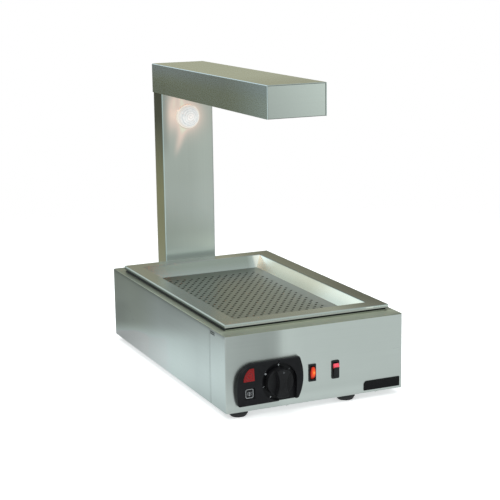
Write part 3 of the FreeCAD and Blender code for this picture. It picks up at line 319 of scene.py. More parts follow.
def deck_painted_light(m):
    # painted shade and reflection on the deck: dark under the tray's edge, darker toward the right and the back, and
    # the strip in front of the tray painted lighter close to it
    x, y, z = m.xyz()
    ox = m.math("SUBTRACT", m.math("ABSOLUTE", m.math("SUBTRACT", x, TRAY_C.x)), TRAY_HX)
    oy = m.math("SUBTRACT", m.math("ABSOLUTE", m.math("SUBTRACT", y, TRAY_C.y)), TRAY_HY)
    d = m.math("MAXIMUM", ox, oy)
    f = m.curve(d, [(-0.01, 0.03), (-0.0017, 0.03), (-0.0006, 0.55), (0.0010, 0.84), (0.004, 0.98), (0.012, 1.02), (0.030, 0.90)])
    f = m.math("MULTIPLY", f, m.curve(x, [(-0.10, 1.0), (0.12, 0.92), (0.148, 0.82), (0.160, 0.66), (0.175, 0.62)]))
    f = m.math("MULTIPLY", f, m.remap(y, -0.05, 0.27, 1.0, 0.60, True))
    front = m.curve(d, [(-0.01, 0.60), (-0.0030, 1.20), (-0.0016, 2.20), (0.0004, 1.80), (0.005, 1.46), (0.010, 1.26), (0.015, 1.13), (0.020, 0.99), (0.026, 0.86), (0.032, 0.76), (0.040, 0.72)])
    front = m.math("MULTIPLY", front, m.curve(x, [(-0.175, 0.84), (-0.12, 0.98), (0.0, 1.08), (0.10, 1.05), (0.145, 0.95), (0.160, 0.74), (0.175, 0.70)]))
    f = m.mix(m.remap(y, TRAY_C.y - TRAY_HY - 0.001, TRAY_C.y - TRAY_HY + 0.006, 1.0, 0.0), f, front)
    return m.mix(1.0, f, (0.97, 1.03, 0.82), "MULTIPLY")


def tray_painted_light(m):
    # painted reflection: the flange top graded across and along it and darker on the right; the rear wall painted
    # darker and the right wall painted pale
    x, y, z = m.xyz()
    top = m.math("MULTIPLY", m.curve(x, [(-0.165, 0.88), (-0.085, 0.80), (0.0, 0.99), (0.05, 1.17), (0.10, 0.92), (0.165, 0.50)]), m.curve(y, [(-0.28, 0.69), (-0.20, 0.72), (0.25, 0.63)]))
    top = m.math("MULTIPLY", top, m.math("SUBTRACT", 1.0, m.math("MULTIPLY", m.remap(x, 0.06, 0.15), m.curve(y, [(-0.28, 0.56), (-0.20, 0.78), (-0.12, 0.74), (0.0, 0.36), (0.25, 0.30)]))))
    wall = m.mix(m.remap(x, 0.10, 0.13), m.mix(m.remap(y, 0.20, 0.215), (0.80, 0.85, 0.84), (0.61, 0.665, 0.59)), (1.30, 1.38, 1.36))
    return m.mix(m.remap(z, TRAY_Z - 0.0012, TRAY_Z - 0.0004), wall, top)


PAN_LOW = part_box("drip_pan")[1].z - 0.0035                        # lower edge of the pan's turned-down lip


def pan_tone(m):
    """The pan's turned-down edge sits in the shade of the tray's."""
    x, y, z = m.xyz()
    ox = m.math("SUBTRACT", m.math("ABSOLUTE", m.math("SUBTRACT", x, TRAY_C.x)), TRAY_HX)
    oy = m.math("SUBTRACT", m.math("ABSOLUTE", m.math("SUBTRACT", y, TRAY_C.y)), TRAY_HY)
    lip = m.mix(m.remap(y, TRAY_C.y - TRAY_HY + 0.0004, TRAY_C.y - TRAY_HY + 0.0010, 1.0, 0.0), (0.36, 0.36, 0.34), (0.60, 0.60, 0.60))
    lip = m.mix(m.remap(z, PAN_LOW + 0.0013, PAN_LOW + 0.0004), lip, (0.06, 0.06, 0.06))
    return m.mix(m.remap(m.math("MAXIMUM", ox, oy), -0.0014, -0.0006, 0.0, 1.0, True), (1.0, 1.0, 1.0), lip)


def tray_floor_painted_shade(m):
    """The tray's floor plate, with painted shade on the edges inside its holes."""
    x, y, z = m.xyz()
    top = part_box("tray_floor")[1].z
    return m.remap(z, top - 0.00022, top - 0.00006, 0.08, 1.0)


def head_painted_light(m):
    # painted reflection on the head's sides, paler toward the front and graded with height, painted darker low at the
    # rear; the top painted darker toward the front
    x, y, z = m.xyz()
    k = m.curve(y, [(-0.24, 0.90), (-0.14, 0.34), (-0.04, 0.06), (0.10, 0.05), (0.24, 0.20), (0.33, 0.0)])
    high = m.remap(z, HEAD_Z - 0.045, HEAD_Z - 0.010, 0.0, 1.0, True)
    tilt = m.remap(y, -0.10, 0.10, -0.5, 0.9)
    k = m.math("MULTIPLY", k, m.math("ADD", 1.0, m.math("MULTIPLY", m.math("SUBTRACT", high, 0.5), tilt)))
    side = m.mix(k, (0.93, 0.97, 1.00), (1.22, 1.26, 1.30))
    low = m.math("MULTIPLY", m.remap(y, 0.10, 0.30), m.remap(z, HEAD_Z - 0.020, HEAD_Z - 0.045, 0.0, 0.32, True))
    side = m.mix(low, side, (0.55, 0.55, 0.55))
    top = m.mix(m.remap(y, -0.06, -0.20), (1.0, 1.0, 1.0), (0.80, 0.79, 0.78))
    return m.mix(m.remap(z, HEAD_Z - 0.0012, HEAD_Z - 0.0004), side, top)


def cap_painted_shade(m):
    x, y, z = m.xyz()
    # the shadow gap round the plate, where it sits inside the cover
    b0, b1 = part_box("head_front_cap")
    ex = m.math("SUBTRACT", (b1.x - b0.x) / 2, m.math("ABSOLUTE", x))
    ez = m.math("SUBTRACT", (b1.z - b0.z) / 2, m.math("ABSOLUTE", m.math("SUBTRACT", z, (b0.z + b1.z) / 2)))
    gap = m.remap(m.math("MINIMUM", ex, ez), 0.0006, 0.0014, 0.22, 1.0, True)
    # painted shade across the plate: darker toward the left and toward the bottom
    f = m.math("MULTIPLY", m.remap(x, -0.058, 0.058, 0.83, 1.12), m.remap(z, b0.z, b1.z, 0.98, 1.08))
    return m.math("MULTIPLY", gap, f)


def post_painted_light(m):
    """Painted shade and reflection on the post: its left side darker at the top and lighter low down, its face graded
    with height and its right bend darker.
    """
    x, y, z = m.xyz()
    side = m.curve(z, [(0.15, 1.10), (0.30, 1.08), (0.35, 0.98), (0.42, 0.78), (0.46, 0.50), (0.53, 0.40)])
    side = m.mix(1.0, side, (1.0, 0.99, 0.94), "MULTIPLY")
    rear = m.remap(y, REAR_Y - 0.0030, REAR_Y - 0.0020)
    side = m.mix(m.math("MAXIMUM", rear, m.remap(x, 0.040, 0.050)), side, (0.92, 0.92, 0.92))
    face = m.mix(m.remap(z, 0.20, 0.34), (0.98, 0.97, 0.96), (0.915, 0.90, 0.88))
    low = m.math("MULTIPLY", m.remap(z, 0.24, 0.17, 0.0, 1.0, True), m.curve(x, [(-0.05, -0.10), (0.02, -0.04), (0.05, 0.10)]))
    high = m.math("MULTIPLY", m.remap(z, 0.36, 0.42, 0.0, 1.0, True), m.remap(x, POST_X + 0.004, POST_X + 0.020, -0.22, 0.0, True))
    mid = m.math("MULTIPLY", m.math("MULTIPLY", m.remap(z, 0.22, 0.28, 0.0, 1.0, True), m.remap(z, 0.46, 0.40, 0.0, 1.0, True)), m.remap(x, 0.0, 0.035, 0.0, 0.07, True))
    face = m.mix(1.0, face, m.math("ADD", 1.0, m.math("ADD", low, m.math("ADD", high, mid))), "MULTIPLY")
    face = m.mix(m.remap(x, 0.0535, 0.0555), face, (0.66, 0.66, 0.66))
    return m.mix(m.remap(y, POST_Y + 0.0018, POST_Y + 0.0032), face, side)


POST_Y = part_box("post_channel")[0].y
POST_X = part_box("post_channel")[0].x
REAR_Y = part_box("post_rear_cover")[1].y
HEAD_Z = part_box("head_cover")[1].z
front_steel = steel("front_brushed_steel", "x", (0.04, 0.0, 1.0), S_COL, 0.30, 0.72, seed=1.3, grade=front_painted_light)
body_steel = steel("body_brushed_steel", "y", (0.05, 0.0, 1.0), S_COL, 0.30, 0.72, seed=2.1, grade=side_painted_light)
back_steel = steel("back_brushed_steel", "x", (0.04, 0.0, 1.0), S_COL, 0.30, 0.72, seed=1.7)
deck_steel = steel("deck_brushed_steel", "y", (0.3, 0.0, 1.0), (0.255, 0.262, 0.250), 0.34, 0.5, seed=3.7, grade=deck_painted_light, bump=0.03, metal=0.25)
deck_steel.b.inputs["Specular IOR Level"].default_value = 0.22
pan_steel = steel("pan_pressed_steel", "y", (0.3, 0.0, 1.0), (0.42, 0.44, 0.42), 0.26, 0.4, seed=4.9, bump=0.02, grade=pan_tone)
tray_steel = steel("tray_pressed_steel", "y", (0.3, 0.0, 1.0), (0.50, 0.52, 0.49), 0.24, 0.4, seed=5.5, grade=tray_painted_light, bump=0.02)
floor_steel = steel("tray_perforated_steel", "y", (1.0, 0.0, 0.3), (0.212, 0.223, 0.192), 0.34, 0.4, tone=0.12, seed=6.2, grade=tray_floor_painted_shade, bump=0.03)
post_steel = steel("post_brushed_steel", "z", (1.0, 1.0, 0.05), (0.55, 0.58, 0.555), 0.30, 0.72, seed=7.4, grade=post_painted_light)
head_steel = steel("head_brushed_steel", "y", (0.3, 0.0, 1.0), S_COL, 0.27, 0.72, streak=0.008, tone=0.03, seed=8.8, grade=head_painted_light, bump=0.006, rvar=0.005)
cap_steel = steel("cap_brushed_steel", "x", (0.04, 0.0, 1.0), S_COL, 0.30, 0.6, streak=0.02, seed=9.1, grade=cap_painted_shade, bump=0.03)

# the turned-down edge of the flange and the right wall catch a pale sheen, painted in as emission
tm = tray_steel
tx, ty, tz = tm.xyz()
tox = tm.math("SUBTRACT", tm.math("ABSOLUTE", tm.math("SUBTRACT", tx, TRAY_C.x)), TRAY_HX)
toy = tm.math("SUBTRACT", tm.math("ABSOLUTE", tm.math("SUBTRACT", ty, TRAY_C.y)), TRAY_HY)
tlip = tm.remap(tm.math("MAXIMUM", tox, toy), -0.0009, -0.0003, 0.0, 1.0, True)
tfront = tm.remap(ty, TRAY_C.y - TRAY_HY + 0.0004, TRAY_C.y - TRAY_HY + 0.0010, 1.0, 0.0)
tlip = tm.math("MULTIPLY", tlip, tm.mix(tfront, tm.remap(tz, TRAY_Z - 0.0031, TRAY_Z - 0.0019, 0.35, 1.0, True), tm.math("MULTIPLY", tm.remap(tz, TRAY_Z - 0.0028, TRAY_Z - 0.0012, 0.54, 0.46, True), tm.remap(tx, 0.0, 0.15, 1.0, 0.80, True))))
twall = tm.math("MULTIPLY", tm.remap(tx, TRAY_C.x + 0.112, TRAY_C.x + 0.119, 0.0, 1.0, True), tm.remap(tz, TRAY_Z - 0.0006, TRAY_Z - 0.0018, 0.0, 1.0, True))
twall = tm.math("MULTIPLY", twall, tm.remap(tox, -0.030, -0.0315, 0.0, 1.0, True))
twall = tm.math("MULTIPLY", twall, tm.remap(tz, TRAY_Z - 0.022, TRAY_Z - 0.006, 0.6, 1.0, True))
tray_painted_sheen = tm.mix(tlip, tm.mix(twall, (0.0, 0.0, 0.0), (0.30, 0.27, 0.215)), (0.25, 0.30, 0.28))
tm.set("Emission_Color", tray_painted_sheen)
tm.b.inputs["Emission Strength"].default_value = 1.0

# painted sheen on the pan's turned-down lip, given as emission: pale at the front, dim on the sides, none along its
# lower edge
pn = pan_steel
tx, ty, tz = pn.xyz()
tox = pn.math("SUBTRACT", pn.math("ABSOLUTE", pn.math("SUBTRACT", tx, TRAY_C.x)), TRAY_HX)
toy = pn.math("SUBTRACT", pn.math("ABSOLUTE", pn.math("SUBTRACT", ty, TRAY_C.y)), TRAY_HY)
plip = pn.remap(pn.math("MAXIMUM", tox, toy), -0.0010, -0.0003, 0.0, 1.0, True)
pfront = pn.remap(ty, TRAY_C.y - TRAY_HY + 0.0004, TRAY_C.y - TRAY_HY + 0.0010, 1.0, 0.0)
plip = pn.math("MULTIPLY", plip, pn.remap(tz, PAN_LOW + 0.0013, PAN_LOW + 0.0004, 1.0, 0.0, True))
pn.set("Emission_Color", pn.mix(plip, (0.0, 0.0, 0.0), pn.mix(pfront, (0.030, 0.040, 0.033), (0.205, 0.225, 0.20))))
pn.b.inputs["Emission Strength"].default_value = 1.0

# light that the ribbed dome throws on the post's face, painted as emission: a warm halo with a few caustic streaks
pm = post_steel
gx, gy, gz = pm.xyz()
gu, gw = pm.math("SUBTRACT", gx, LX), pm.math("SUBTRACT", gz, LZ)
gr = pm.math("SQRT", pm.math("ADD", pm.math("MULTIPLY", gu, gu), pm.math("MULTIPLY", gw, gw)))
gside = pm.math("DIVIDE", pm.math("ADD", pm.math("MULTIPLY", gu, -0.86), pm.math("MULTIPLY", gw, 0.5)), pm.math("MAXIMUM", gr, 0.001))
gsig = pm.remap(gside, -0.2, 0.9, 0.0125, 0.026, True)
gd = pm.math("MAXIMUM", pm.math("SUBTRACT", gr, LR - 0.001), 0.0)
halo = pm.math("EXPONENT", pm.math("MULTIPLY", pm.math("DIVIDE", gd, gsig), -1.0))


def caustic(m, u, w, a, b, w0, w1, p0, p1):
    """A soft painted streak of light from a to b in the post's plane, w0 wide at a and w1 at b, with strength p0 to p1.
    """
    du, dw = b[0] - a[0], b[1] - a[1]
    ln = math.hypot(du, dw)
    ca, sa = du / ln, dw / ln
    pu, pw = m.math("SUBTRACT", u, a[0]), m.math("SUBTRACT", w, a[1])
    t = m.math("ADD", m.math("MULTIPLY", pu, ca / ln), m.math("MULTIPLY", pw, sa / ln))
    q = m.math("ADD", m.math("MULTIPLY", pu, -sa), m.math("MULTIPLY", pw, ca))
    wid = m.remap(t, 0.0, 1.0, w0, w1)
    k = m.math("DIVIDE", q, wid)
    body = m.math("EXPONENT", m.math("MULTIPLY", m.math("MULTIPLY", k, k), -1.0))
    ends = m.math("MULTIPLY", m.remap(t, -0.12, 0.05, 0.0, 1.0, True), m.remap(t, 0.55, 1.15, 1.0, 0.0, True))
    return m.math("MULTIPLY", m.math("MULTIPLY", body, ends), m.remap(t, 0.0, 1.0, p0, p1))


s1 = caustic(pm, gu, gw, (-0.0085, -0.017), (-0.030, -0.084), 0.0100, 0.0055, 1.05, 0.42)
s2 = caustic(pm, gu, gw, (-0.0115, 0.019), (-0.0150, 0.045), 0.0060, 0.0070, 0.45, 0.85)
s3 = caustic(pm, gu, gw, (-0.0360, -0.022), (-0.0350, 0.046), 0.0090, 0.0095, 0.10, 0.62)
s4 = caustic(pm, gu, gw, (-0.0310, 0.014), (-0.0280, 0.045), 0.0045, 0.0065, 0.0, 0.85)
gsum = pm.math("ADD", pm.math("ADD", pm.math("MULTIPLY", halo, 1.12), s1), pm.math("ADD", pm.math("ADD", s2, s3), s4))
face = pm.remap(gy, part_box("post_channel")[0].y + 0.0002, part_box("post_channel")[0].y + 0.0012, 1.0, 0.0)
gsum = pm.math("MULTIPLY", gsum, pm.math("MULTIPLY", face, pm.remap(gx, POST_X + 0.002, POST_X + 0.017, 0.12, 1.0, True)))
warm = pm.mix(pm.remap(gsum, 0.98, 1.60, 0.0, 1.0, True), (0.36, 0.195, 0.155), (0.37, 0.33, 0.23))
glow = pm.mix(pm.math("MINIMUM", gsum, 1.0), (0.0, 0.0, 0.0), warm)
# painted reflection of the tray's sheen on the foot of the post, and a painted highlight line on its left bend
foot = pm.curve(gz, [(0.10, 1.0), (0.165, 1.0), (0.185, 0.75), (0.215, 0.42), (0.27, 0.16), (0.33, 0.0)])
glow = pm.mix(1.0, glow, pm.mix(pm.math("MULTIPLY", foot, face), (0.0, 0.0, 0.0), (0.155, 0.19, 0.175)), "ADD")
bend = pm.math("MULTIPLY", pm.remap(gx, POST_X + 0.0022, POST_X + 0.0014, 0.0, 1.0, True), pm.remap(gy, POST_Y + 0.0022, POST_Y + 0.0014, 0.0, 1.0, True))
glow = pm.mix(1.0, glow, pm.mix(bend, (0.0, 0.0, 0.0), (0.075, 0.125, 0.135)), "ADD")
# the warm light the room throws on the post's left side, lower down, painted as emission
strip = pm.math("MULTIPLY", pm.remap(gx, POST_X + 0.0012, POST_X + 0.0004, 0.0, 1.0, True), pm.remap(gy, POST_Y + 0.0016, POST_Y + 0.0030, 0.0, 1.0, True))
strip = pm.math("MULTIPLY", strip, pm.curve(gz, [(0.15, 1.0), (0.30, 1.0), (0.35, 0.70), (0.42, 0.12), (0.45, 0.0)]))
glow = pm.mix(1.0, glow, pm.mix(strip, (0.0, 0.0, 0.0), pm.mix(pm.remap(gz, 0.20, 0.24, 0.0, 1.0, True), (0.083, 0.074, 0.014), (0.083, 0.076, 0.026))), "ADD")
pm.set("Emission_Color", glow)
pm.b.inputs["Emission Strength"].default_value = 1.0

# the same cool light, painted as emission along the left side of the head, stronger toward its front and its upper edge
hm = head_steel
hx, hy, hz = hm.xyz()
hside = hm.math("MULTIPLY", hm.remap(hz, HEAD_Z - 0.0012, HEAD_Z - 0.0004, 1.0, 0.0), hm.remap(hx, -0.050, -0.056, 0.0, 1.0, True))
hfront = hm.remap(hy, -0.05, -0.26, 0.0, 1.0, True)
hrear = hm.math("MULTIPLY", hm.remap(hy, -0.20, 0.28, 0.6, 1.0, True), hm.remap(hz, HEAD_Z - 0.036, HEAD_Z - 0.003, 0.0, 1.0, True))
cool = hm.mix(1.0, hm.mix(hfront, (0.0, 0.005, 0.006), (0.026, 0.050, 0.070)), hm.mix(hrear, (0.0, 0.0, 0.0), (0.006, 0.012, 0.044)), "ADD")
hm.set("Emission_Color", hm.mix(hside, (0.0, 0.0, 0.0), cool))
hm.b.inputs["Emission Strength"].default_value = 1.0

galv = Mat("galvanised_spangle", Metallic=1.0)
sp = galv.voronoi(galv.scale(130.0, 130.0, 130.0), 1.0)
sn = galv.noise(galv.scale(300.0, 300.0, 300.0), 1.0, 3.0, 0.6)
galv.set("Base_Color", galv.mix(galv.remap(sp, 0.1, 0.8), (0.50, 0.52, 0.53), (0.63, 0.65, 0.66)))
galv.set("Roughness", galv.remap(sn, 0.3, 0.7, 0.38, 0.52))
galv.set("Normal", galv.bump(sp, 0.08, 0.0003))


def metal(name, color, rough, tone=0.15, scale=400.0, bump=0.1):
    m = Mat(name, Metallic=1.0)
    n = m.noise(m.scale(scale, scale, scale), 1.0, 3.0, 0.6)
    w = m.noise(m.scale(scale / 8, scale / 8, scale / 8), 1.0, 3.0, 0.6)
    m.set("Base_Color", m.mix(m.remap(w, 0.3, 0.7), tuple(c * (1 - tone) for c in color), tuple(min(1.0, c * (1 + tone)) for c in color)))
    m.set("Roughness", m.remap(n, 0.3, 0.7, max(0.02, rough - 0.06), rough + 0.06))
    m.set("Normal", m.bump(n, bump, 0.00008))
    return m


zinc = metal("zinc_fixings", (0.62, 0.62, 0.60), 0.32)
sheath = metal("element_sheath", (0.20, 0.19, 0.18), 0.45, 0.3)
mirror = metal("polished_reflector", (0.86, 0.84, 0.80), 0.12, 0.05, 200.0, 0.04)
chrome = metal("guard_chrome", (0.72, 0.73, 0.73), 0.14, 0.06)
ring_chrome = metal("lamp_ring_chrome", (0.50, 0.48, 0.45), 0.35, 0.05)
# painted warm glow on the ring from the lamp, given as emission
rn = ring_chrome.noise(ring_chrome.scale(120.0, 120.0, 120.0), 1.0, 2.0)
ring_chrome.set("Emission_Color", ring_chrome.mix(rn, (0.42, 0.36, 0.30), (0.47, 0.41, 0.35)))
ring_chrome.b.inputs["Emission Strength"].default_value = 1.0
copper = metal("copper_capillary", (0.72, 0.38, 0.22), 0.28, 0.2)
brass = metal("brass_terminals", (0.72, 0.56, 0.26), 0.30, 0.15)

ceramic = plastic("ceramic", (0.74, 0.71, 0.64), 0.55, 0.2, 1200.0, tone=0.06)
rubber = plastic("black_rubber", (0.018, 0.018, 0.019), 0.62, 0.35, 1800.0, 0.35, tone=0.3)
silicone = plastic("black_silicone", (0.008, 0.008, 0.009), 0.7, 0.2, 1500.0, 0.25, tone=0.3)
bezel_black = plastic("black_bezel_moulding", (0.0075, 0.0075, 0.0088), 0.34, 0.16, 2300.0, 0.14, tone=0.22)
bakelite = plastic("black_bakelite", (0.030, 0.026, 0.023), 0.30, 0.12, 900.0, 0.5, tone=0.3)
knob_black = plastic("black_knob_moulding", (0.0103, 0.0103, 0.0112), 0.38, 0.16, 2300.0, 0.12, tone=0.2)
tile_black = plastic("black_icon_tile", (0.006, 0.006, 0.007), 0.30, 0.05, 1500.0, 0.2, tone=0.3)
switch_black = plastic("black_switch_moulding", (0.006, 0.006, 0.007), 0.30, 0.12, 2300.0, 0.28, tone=0.3)
plate_black = plastic("black_blank_plate", (0.004, 0.004, 0.0045), 0.30, 0.06, 1800.0, 0.16, tone=0.3)
nylon_black = plastic("black_nylon", (0.022, 0.022, 0.023), 0.42, 0.2, 1500.0, 0.45)
nylon_white = plastic("white_nylon", (0.72, 0.71, 0.66), 0.4, 0.1, 1500.0, 0.45, tone=0.05)
print_icon = plastic("icon_white_print", (0.33, 0.34, 0.35), 0.5, 0.1, 3000.0, 0.4, tone=0.08)
print_white = plastic("white_print", (0.60, 0.62, 0.64), 0.5, 0.1, 3000.0, 0.4, tone=0.08)
print_grey = plastic("grey_print", (0.16, 0.17, 0.18), 0.5, 0.1, 3000.0, 0.3, tone=0.1)
print_dark = plastic("dark_red_print", (0.10, 0.004, 0.006), 0.4, 0.1, 3000.0, 0.4, tone=0.2)

sleeve = Mat("glass_fibre_sleeve", Roughness=0.75)
wv = sleeve.noise(sleeve.scale(900.0, 900.0, 900.0), 1.0, 2.0, 0.5)
wx = sleeve.voronoi(sleeve.scale(700.0, 700.0, 700.0), 1.0)
sleeve.set("Base_Color", sleeve.mix(sleeve.remap(wx, 0.1, 0.7), (0.10, 0.095, 0.085), (0.05, 0.048, 0.044)))
sleeve.set("Normal", sleeve.bump(wx, 0.6, 0.0003, sleeve.bump(wv, 0.3, 0.0002)))

# red lens over the pilot lamp
lens = Mat("red_indicator_lens")
ld = lens.dist((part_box("pilot_lamp")[0].x / 2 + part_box("pilot_lamp")[1].x / 2, FRONT_Y - 0.010, (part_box("pilot_lamp")[0].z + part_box("pilot_lamp")[1].z) / 2))
ln = lens.noise(lens.scale(500.0, 500.0, 500.0), 1.0, 2.0)
lens.set("Base_Color", lens.mix(lens.remap(ld, 0.0, 0.016), (0.18, 0.005, 0.006), (0.15, 0.004, 0.005)))
lens.b.inputs["Specular IOR Level"].default_value = 0.25
lens.set("Roughness", lens.remap(ln, 0.3, 0.7, 0.22, 0.34))
lens.set("Emission_Color", lens.mix(lens.remap(ld, 0.0, 0.018), (0.60, 0.012, 0.012), (0.30, 0.006, 0.006)))
lens.b.inputs["Emission Strength"].default_value = 0.10

# heater rocker: lit lens with its hot spot a little right of the middle
r0, r1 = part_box("heater_rocker")
rx, rz = (r0.x + r1.x) / 2, (r0.z + r1.z) / 2
hot = Mat("lit_rocker_lens", Roughness=0.22)
x, y, z = hot.xyz()
hx = hot.math("DIVIDE", hot.math("SUBTRACT", x, rx + 0.0012), 0.0036)
hz = hot.math("DIVIDE", hot.math("SUBTRACT", z, rz + 0.0012), 0.0072)
hr = hot.math("SQRT", hot.math("ADD", hot.math("MULTIPLY", hx, hx), hot.math("MULTIPLY", hz, hz)))
hn = hot.noise(hot.scale(900.0, 900.0, 450.0), 1.0, 2.0)
hr = hot.math("ADD", hr, hot.remap(hn, 0.3, 0.7, -0.12, 0.12))
glow = hot.ramp(hot.remap(hr, 0.0, 2.2), [(0.0, (1.0, 0.68, 0.14)), (0.12, (0.98, 0.34, 0.04)), (0.24, (0.82, 0.085, 0.010)), (0.60, (0.55, 0.025, 0.006)), (1.0, (0.26, 0.008, 0.004))])
ex, ez = hot.math("DIVIDE", hot.math("SUBTRACT", x, rx + 0.0004), 0.0050), hot.math("DIVIDE", hot.math("SUBTRACT", z, rz), 0.0122)
oval = hot.remap(hot.math("SQRT", hot.math("ADD", hot.math("MULTIPLY", ex, ex), hot.math("MULTIPLY", ez, ez))), 0.86, 1.12, 1.0, 0.10, True)
glow = hot.mix(1.0, glow, oval, "MULTIPLY")
# painted shade: the lit lens's glow dimmed toward its lower end
shade = hot.remap(z, rz - 0.0105, rz - 0.0045, 0.32, 1.0, True)
hot.set("Base_Color", hot.mix(1.0, hot.mix(hot.remap(hr, 0.0, 2.0), (0.30, 0.03, 0.01), (0.16, 0.008, 0.004)), oval, "MULTIPLY"))
hot.b.inputs["Specular IOR Level"].default_value = 0.25
hot.set("Emission_Color", hot.mix(1.0, glow, hot.mix(shade, (0.0, 0.0, 0.0), (1.0, 1.0, 1.0)), "MULTIPLY"))
hot.b.inputs["Emission Strength"].default_value = 0.85

# lamp rocker: unlit red body, painted dark on its lower half as shade, and paler with a faint painted glow where its
# top slope faces up
l0, l1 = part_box("lamp_rocker")
cold = Mat("red_rocker_moulding")
x, y, z = cold.xyz()
cn = cold.noise(cold.scale(700.0, 700.0, 700.0), 1.0, 2.0)
top_slope_painted_light = cold.remap(z, (l0.z + l1.z) / 2 + 0.002, (l0.z + l1.z) / 2 + 0.006, 0.0, 1.0, True)
cold.set("Base_Color", cold.mix(top_slope_painted_light, (0.012, 0.004, 0.004), cold.mix(cold.remap(z, (l0.z + l1.z) / 2 + 0.004, (l0.z + l1.z) / 2 + 0.008, 0.0, 1.0, True), (0.52, 0.04, 0.018), (0.70, 0.065, 0.095))))
cold.set("Roughness", cold.remap(cn, 0.3, 0.7, 0.26, 0.36))
cold.set("Emission_Color", cold.mix(top_slope_painted_light, (0.0, 0.0, 0.0), cold.mix(cold.remap(cn, 0.3, 0.7), (0.62, 0.07, 0.11), (0.70, 0.08, 0.13))))
cold.b.inputs["Emission Strength"].default_value = 0.25

# lamp glass: a ribbed dome with the bulb lit behind it
dome = Mat("lit_ribbed_glass", Roughness=0.12)
x, y, z = dome.xyz()
dx, dz = dome.math("SUBTRACT", x, LX), dome.math("SUBTRACT", z, LZ)
dr = dome.math("SQRT", dome.math("ADD", dome.math("MULTIPLY", dx, dx), dome.math("MULTIPLY", dz, dz)))
rings = dome.math("SINE", dome.math("MULTIPLY", dr, 2 * math.pi / 0.0046))
dn = dome.noise(dome.scale(150.0, 150.0, 150.0), 1.0, 3.0, 0.6, 1.2)
tone = dome.math("ADD", dome.remap(rings, -1.0, 1.0, 0.0, 0.5), dome.remap(dn, 0.35, 0.65, 0.0, 0.5))
edge = dome.remap(dr, LR * 0.72, LR * 1.0, 0.0, 1.0, True)
dome.set("Base_Color", dome.mix(tone, (0.16, 0.16, 0.16), (0.22, 0.22, 0.22)))
dome.b.inputs["Specular IOR Level"].default_value = 0.2
dome.set("Emission_Color", dome.mix(edge, dome.mix(tone, (0.555, 0.575, 0.57), (0.79, 0.81, 0.80)), (0.72, 0.67, 0.60)))
dome.b.inputs["Emission Strength"].default_value = 0.90

bulb = Mat("bulb_glass", Roughness=0.1)
bn = bulb.noise(bulb.scale(200.0, 200.0, 200.0), 1.0, 2.0)
bulb.set("Base_Color", bulb.mix(bn, (0.95, 0.90, 0.80), (0.90, 0.84, 0.74)))
bulb.set("Emission_Color", bulb.mix(bn, (1.0, 0.80, 0.56), (1.0, 0.86, 0.66)))
bulb.b.inputs["Emission Strength"].default_value = 2.0

quartz = Mat("quartz_glass", Roughness=0.06)
qn = quartz.noise(quartz.scale(300.0, 40.0, 300.0), 1.0, 2.0)
quartz.set("Base_Color", quartz.mix(qn, (0.96, 0.94, 0.92), (0.90, 0.87, 0.84)))
quartz.b.inputs["Transmission Weight"].default_value = 0.92
quartz.b.inputs["IOR"].default_value = 1.46

coil = Mat("glowing_coil", Roughness=0.5, Metallic=0.6)
gn = coil.noise(coil.scale(40.0, 12.0, 40.0), 1.0, 2.0)
coil.set("Base_Color", coil.mix(gn, (0.35, 0.16, 0.08), (0.42, 0.20, 0.10)))
coil.set("Emission_Color", coil.mix(coil.remap(gn, 0.3, 0.7), (1.0, 0.20, 0.035), (1.0, 0.30, 0.06)))
coil.b.inputs["Emission Strength"].default_value = 4.0

USE = {
    "front_panel": front_steel, "side_panel_left": body_steel, "side_panel_right": body_steel,
    "rear_panel": back_steel, "deck_plate": deck_steel, "well_rim": deck_steel,
    "bottom_cover": galv, "cover_screws": zinc, "feet": rubber, "foot_screws": zinc,
    "heated_well": galv, "base_element": sheath, "element_bushes": ceramic, "element_supports": galv,
    "well_seal": silicone, "drip_pan": pan_steel, "tray_frame": tray_steel, "tray_floor": floor_steel,
    "post_channel": post_steel, "post_rear_cover": post_steel, "post_bolts": zinc,
    "wire_grommet": rubber, "lamp_ring": ring_chrome, "lamp_glass": dome, "lamp_housing": galv,
    "lamp_holder": ceramic, "lamp_bulb": bulb,
    "head_cover": head_steel, "head_front_cap": cap_steel, "head_rear_cap": cap_steel,
    "head_bracket": galv, "head_bolts": zinc, "reflector": mirror, "tube_brackets": galv,
    "quartz_tubes": quartz, "heating_coils": coil, "tube_end_ceramics": ceramic, "wire_guard": chrome,
    "head_terminal_block": ceramic, "indicator_lens": lens, "pilot_lamp": nylon_black, "icon_tile": tile_black,
    "control_bezel": bezel_black, "thermostat": bakelite, "thermostat_shaft": zinc, "thermostat_bulb": copper,
    "thermostat_knob": knob_black, "heater_switch_body": switch_black, "lamp_switch_body": switch_black,
    "heater_rocker": hot, "lamp_rocker": cold, "lamp_rocker_face": switch_black, "spade_terminals": brass,
    "blank_plate": plate_black, "cable_gland": nylon_black, "gland_locknut": nylon_black,
    "terminal_block": nylon_white, "earth_stud": zinc, "base_harness": sleeve, "post_harness": sleeve,
}
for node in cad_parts:
    give(node, USE[node])


# ---------------------------------------------------------------------------
# new pieces
# ---------------------------------------------------------------------------
def make(name, bm, mat, body, smooth=False):
    bmesh.ops.recalc_face_normals(bm, faces=bm.faces)
    me = bpy.data.meshes.new(name)
    bm.to_mesh(me)
    bm.free()
    for p in me.polygons:
        p.use_smooth = smooth
    o = bpy.data.objects.new(name, me)
    scene.collection.objects.link(o)
    me.materials.append(mat.m)
    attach(o, body)
    return o


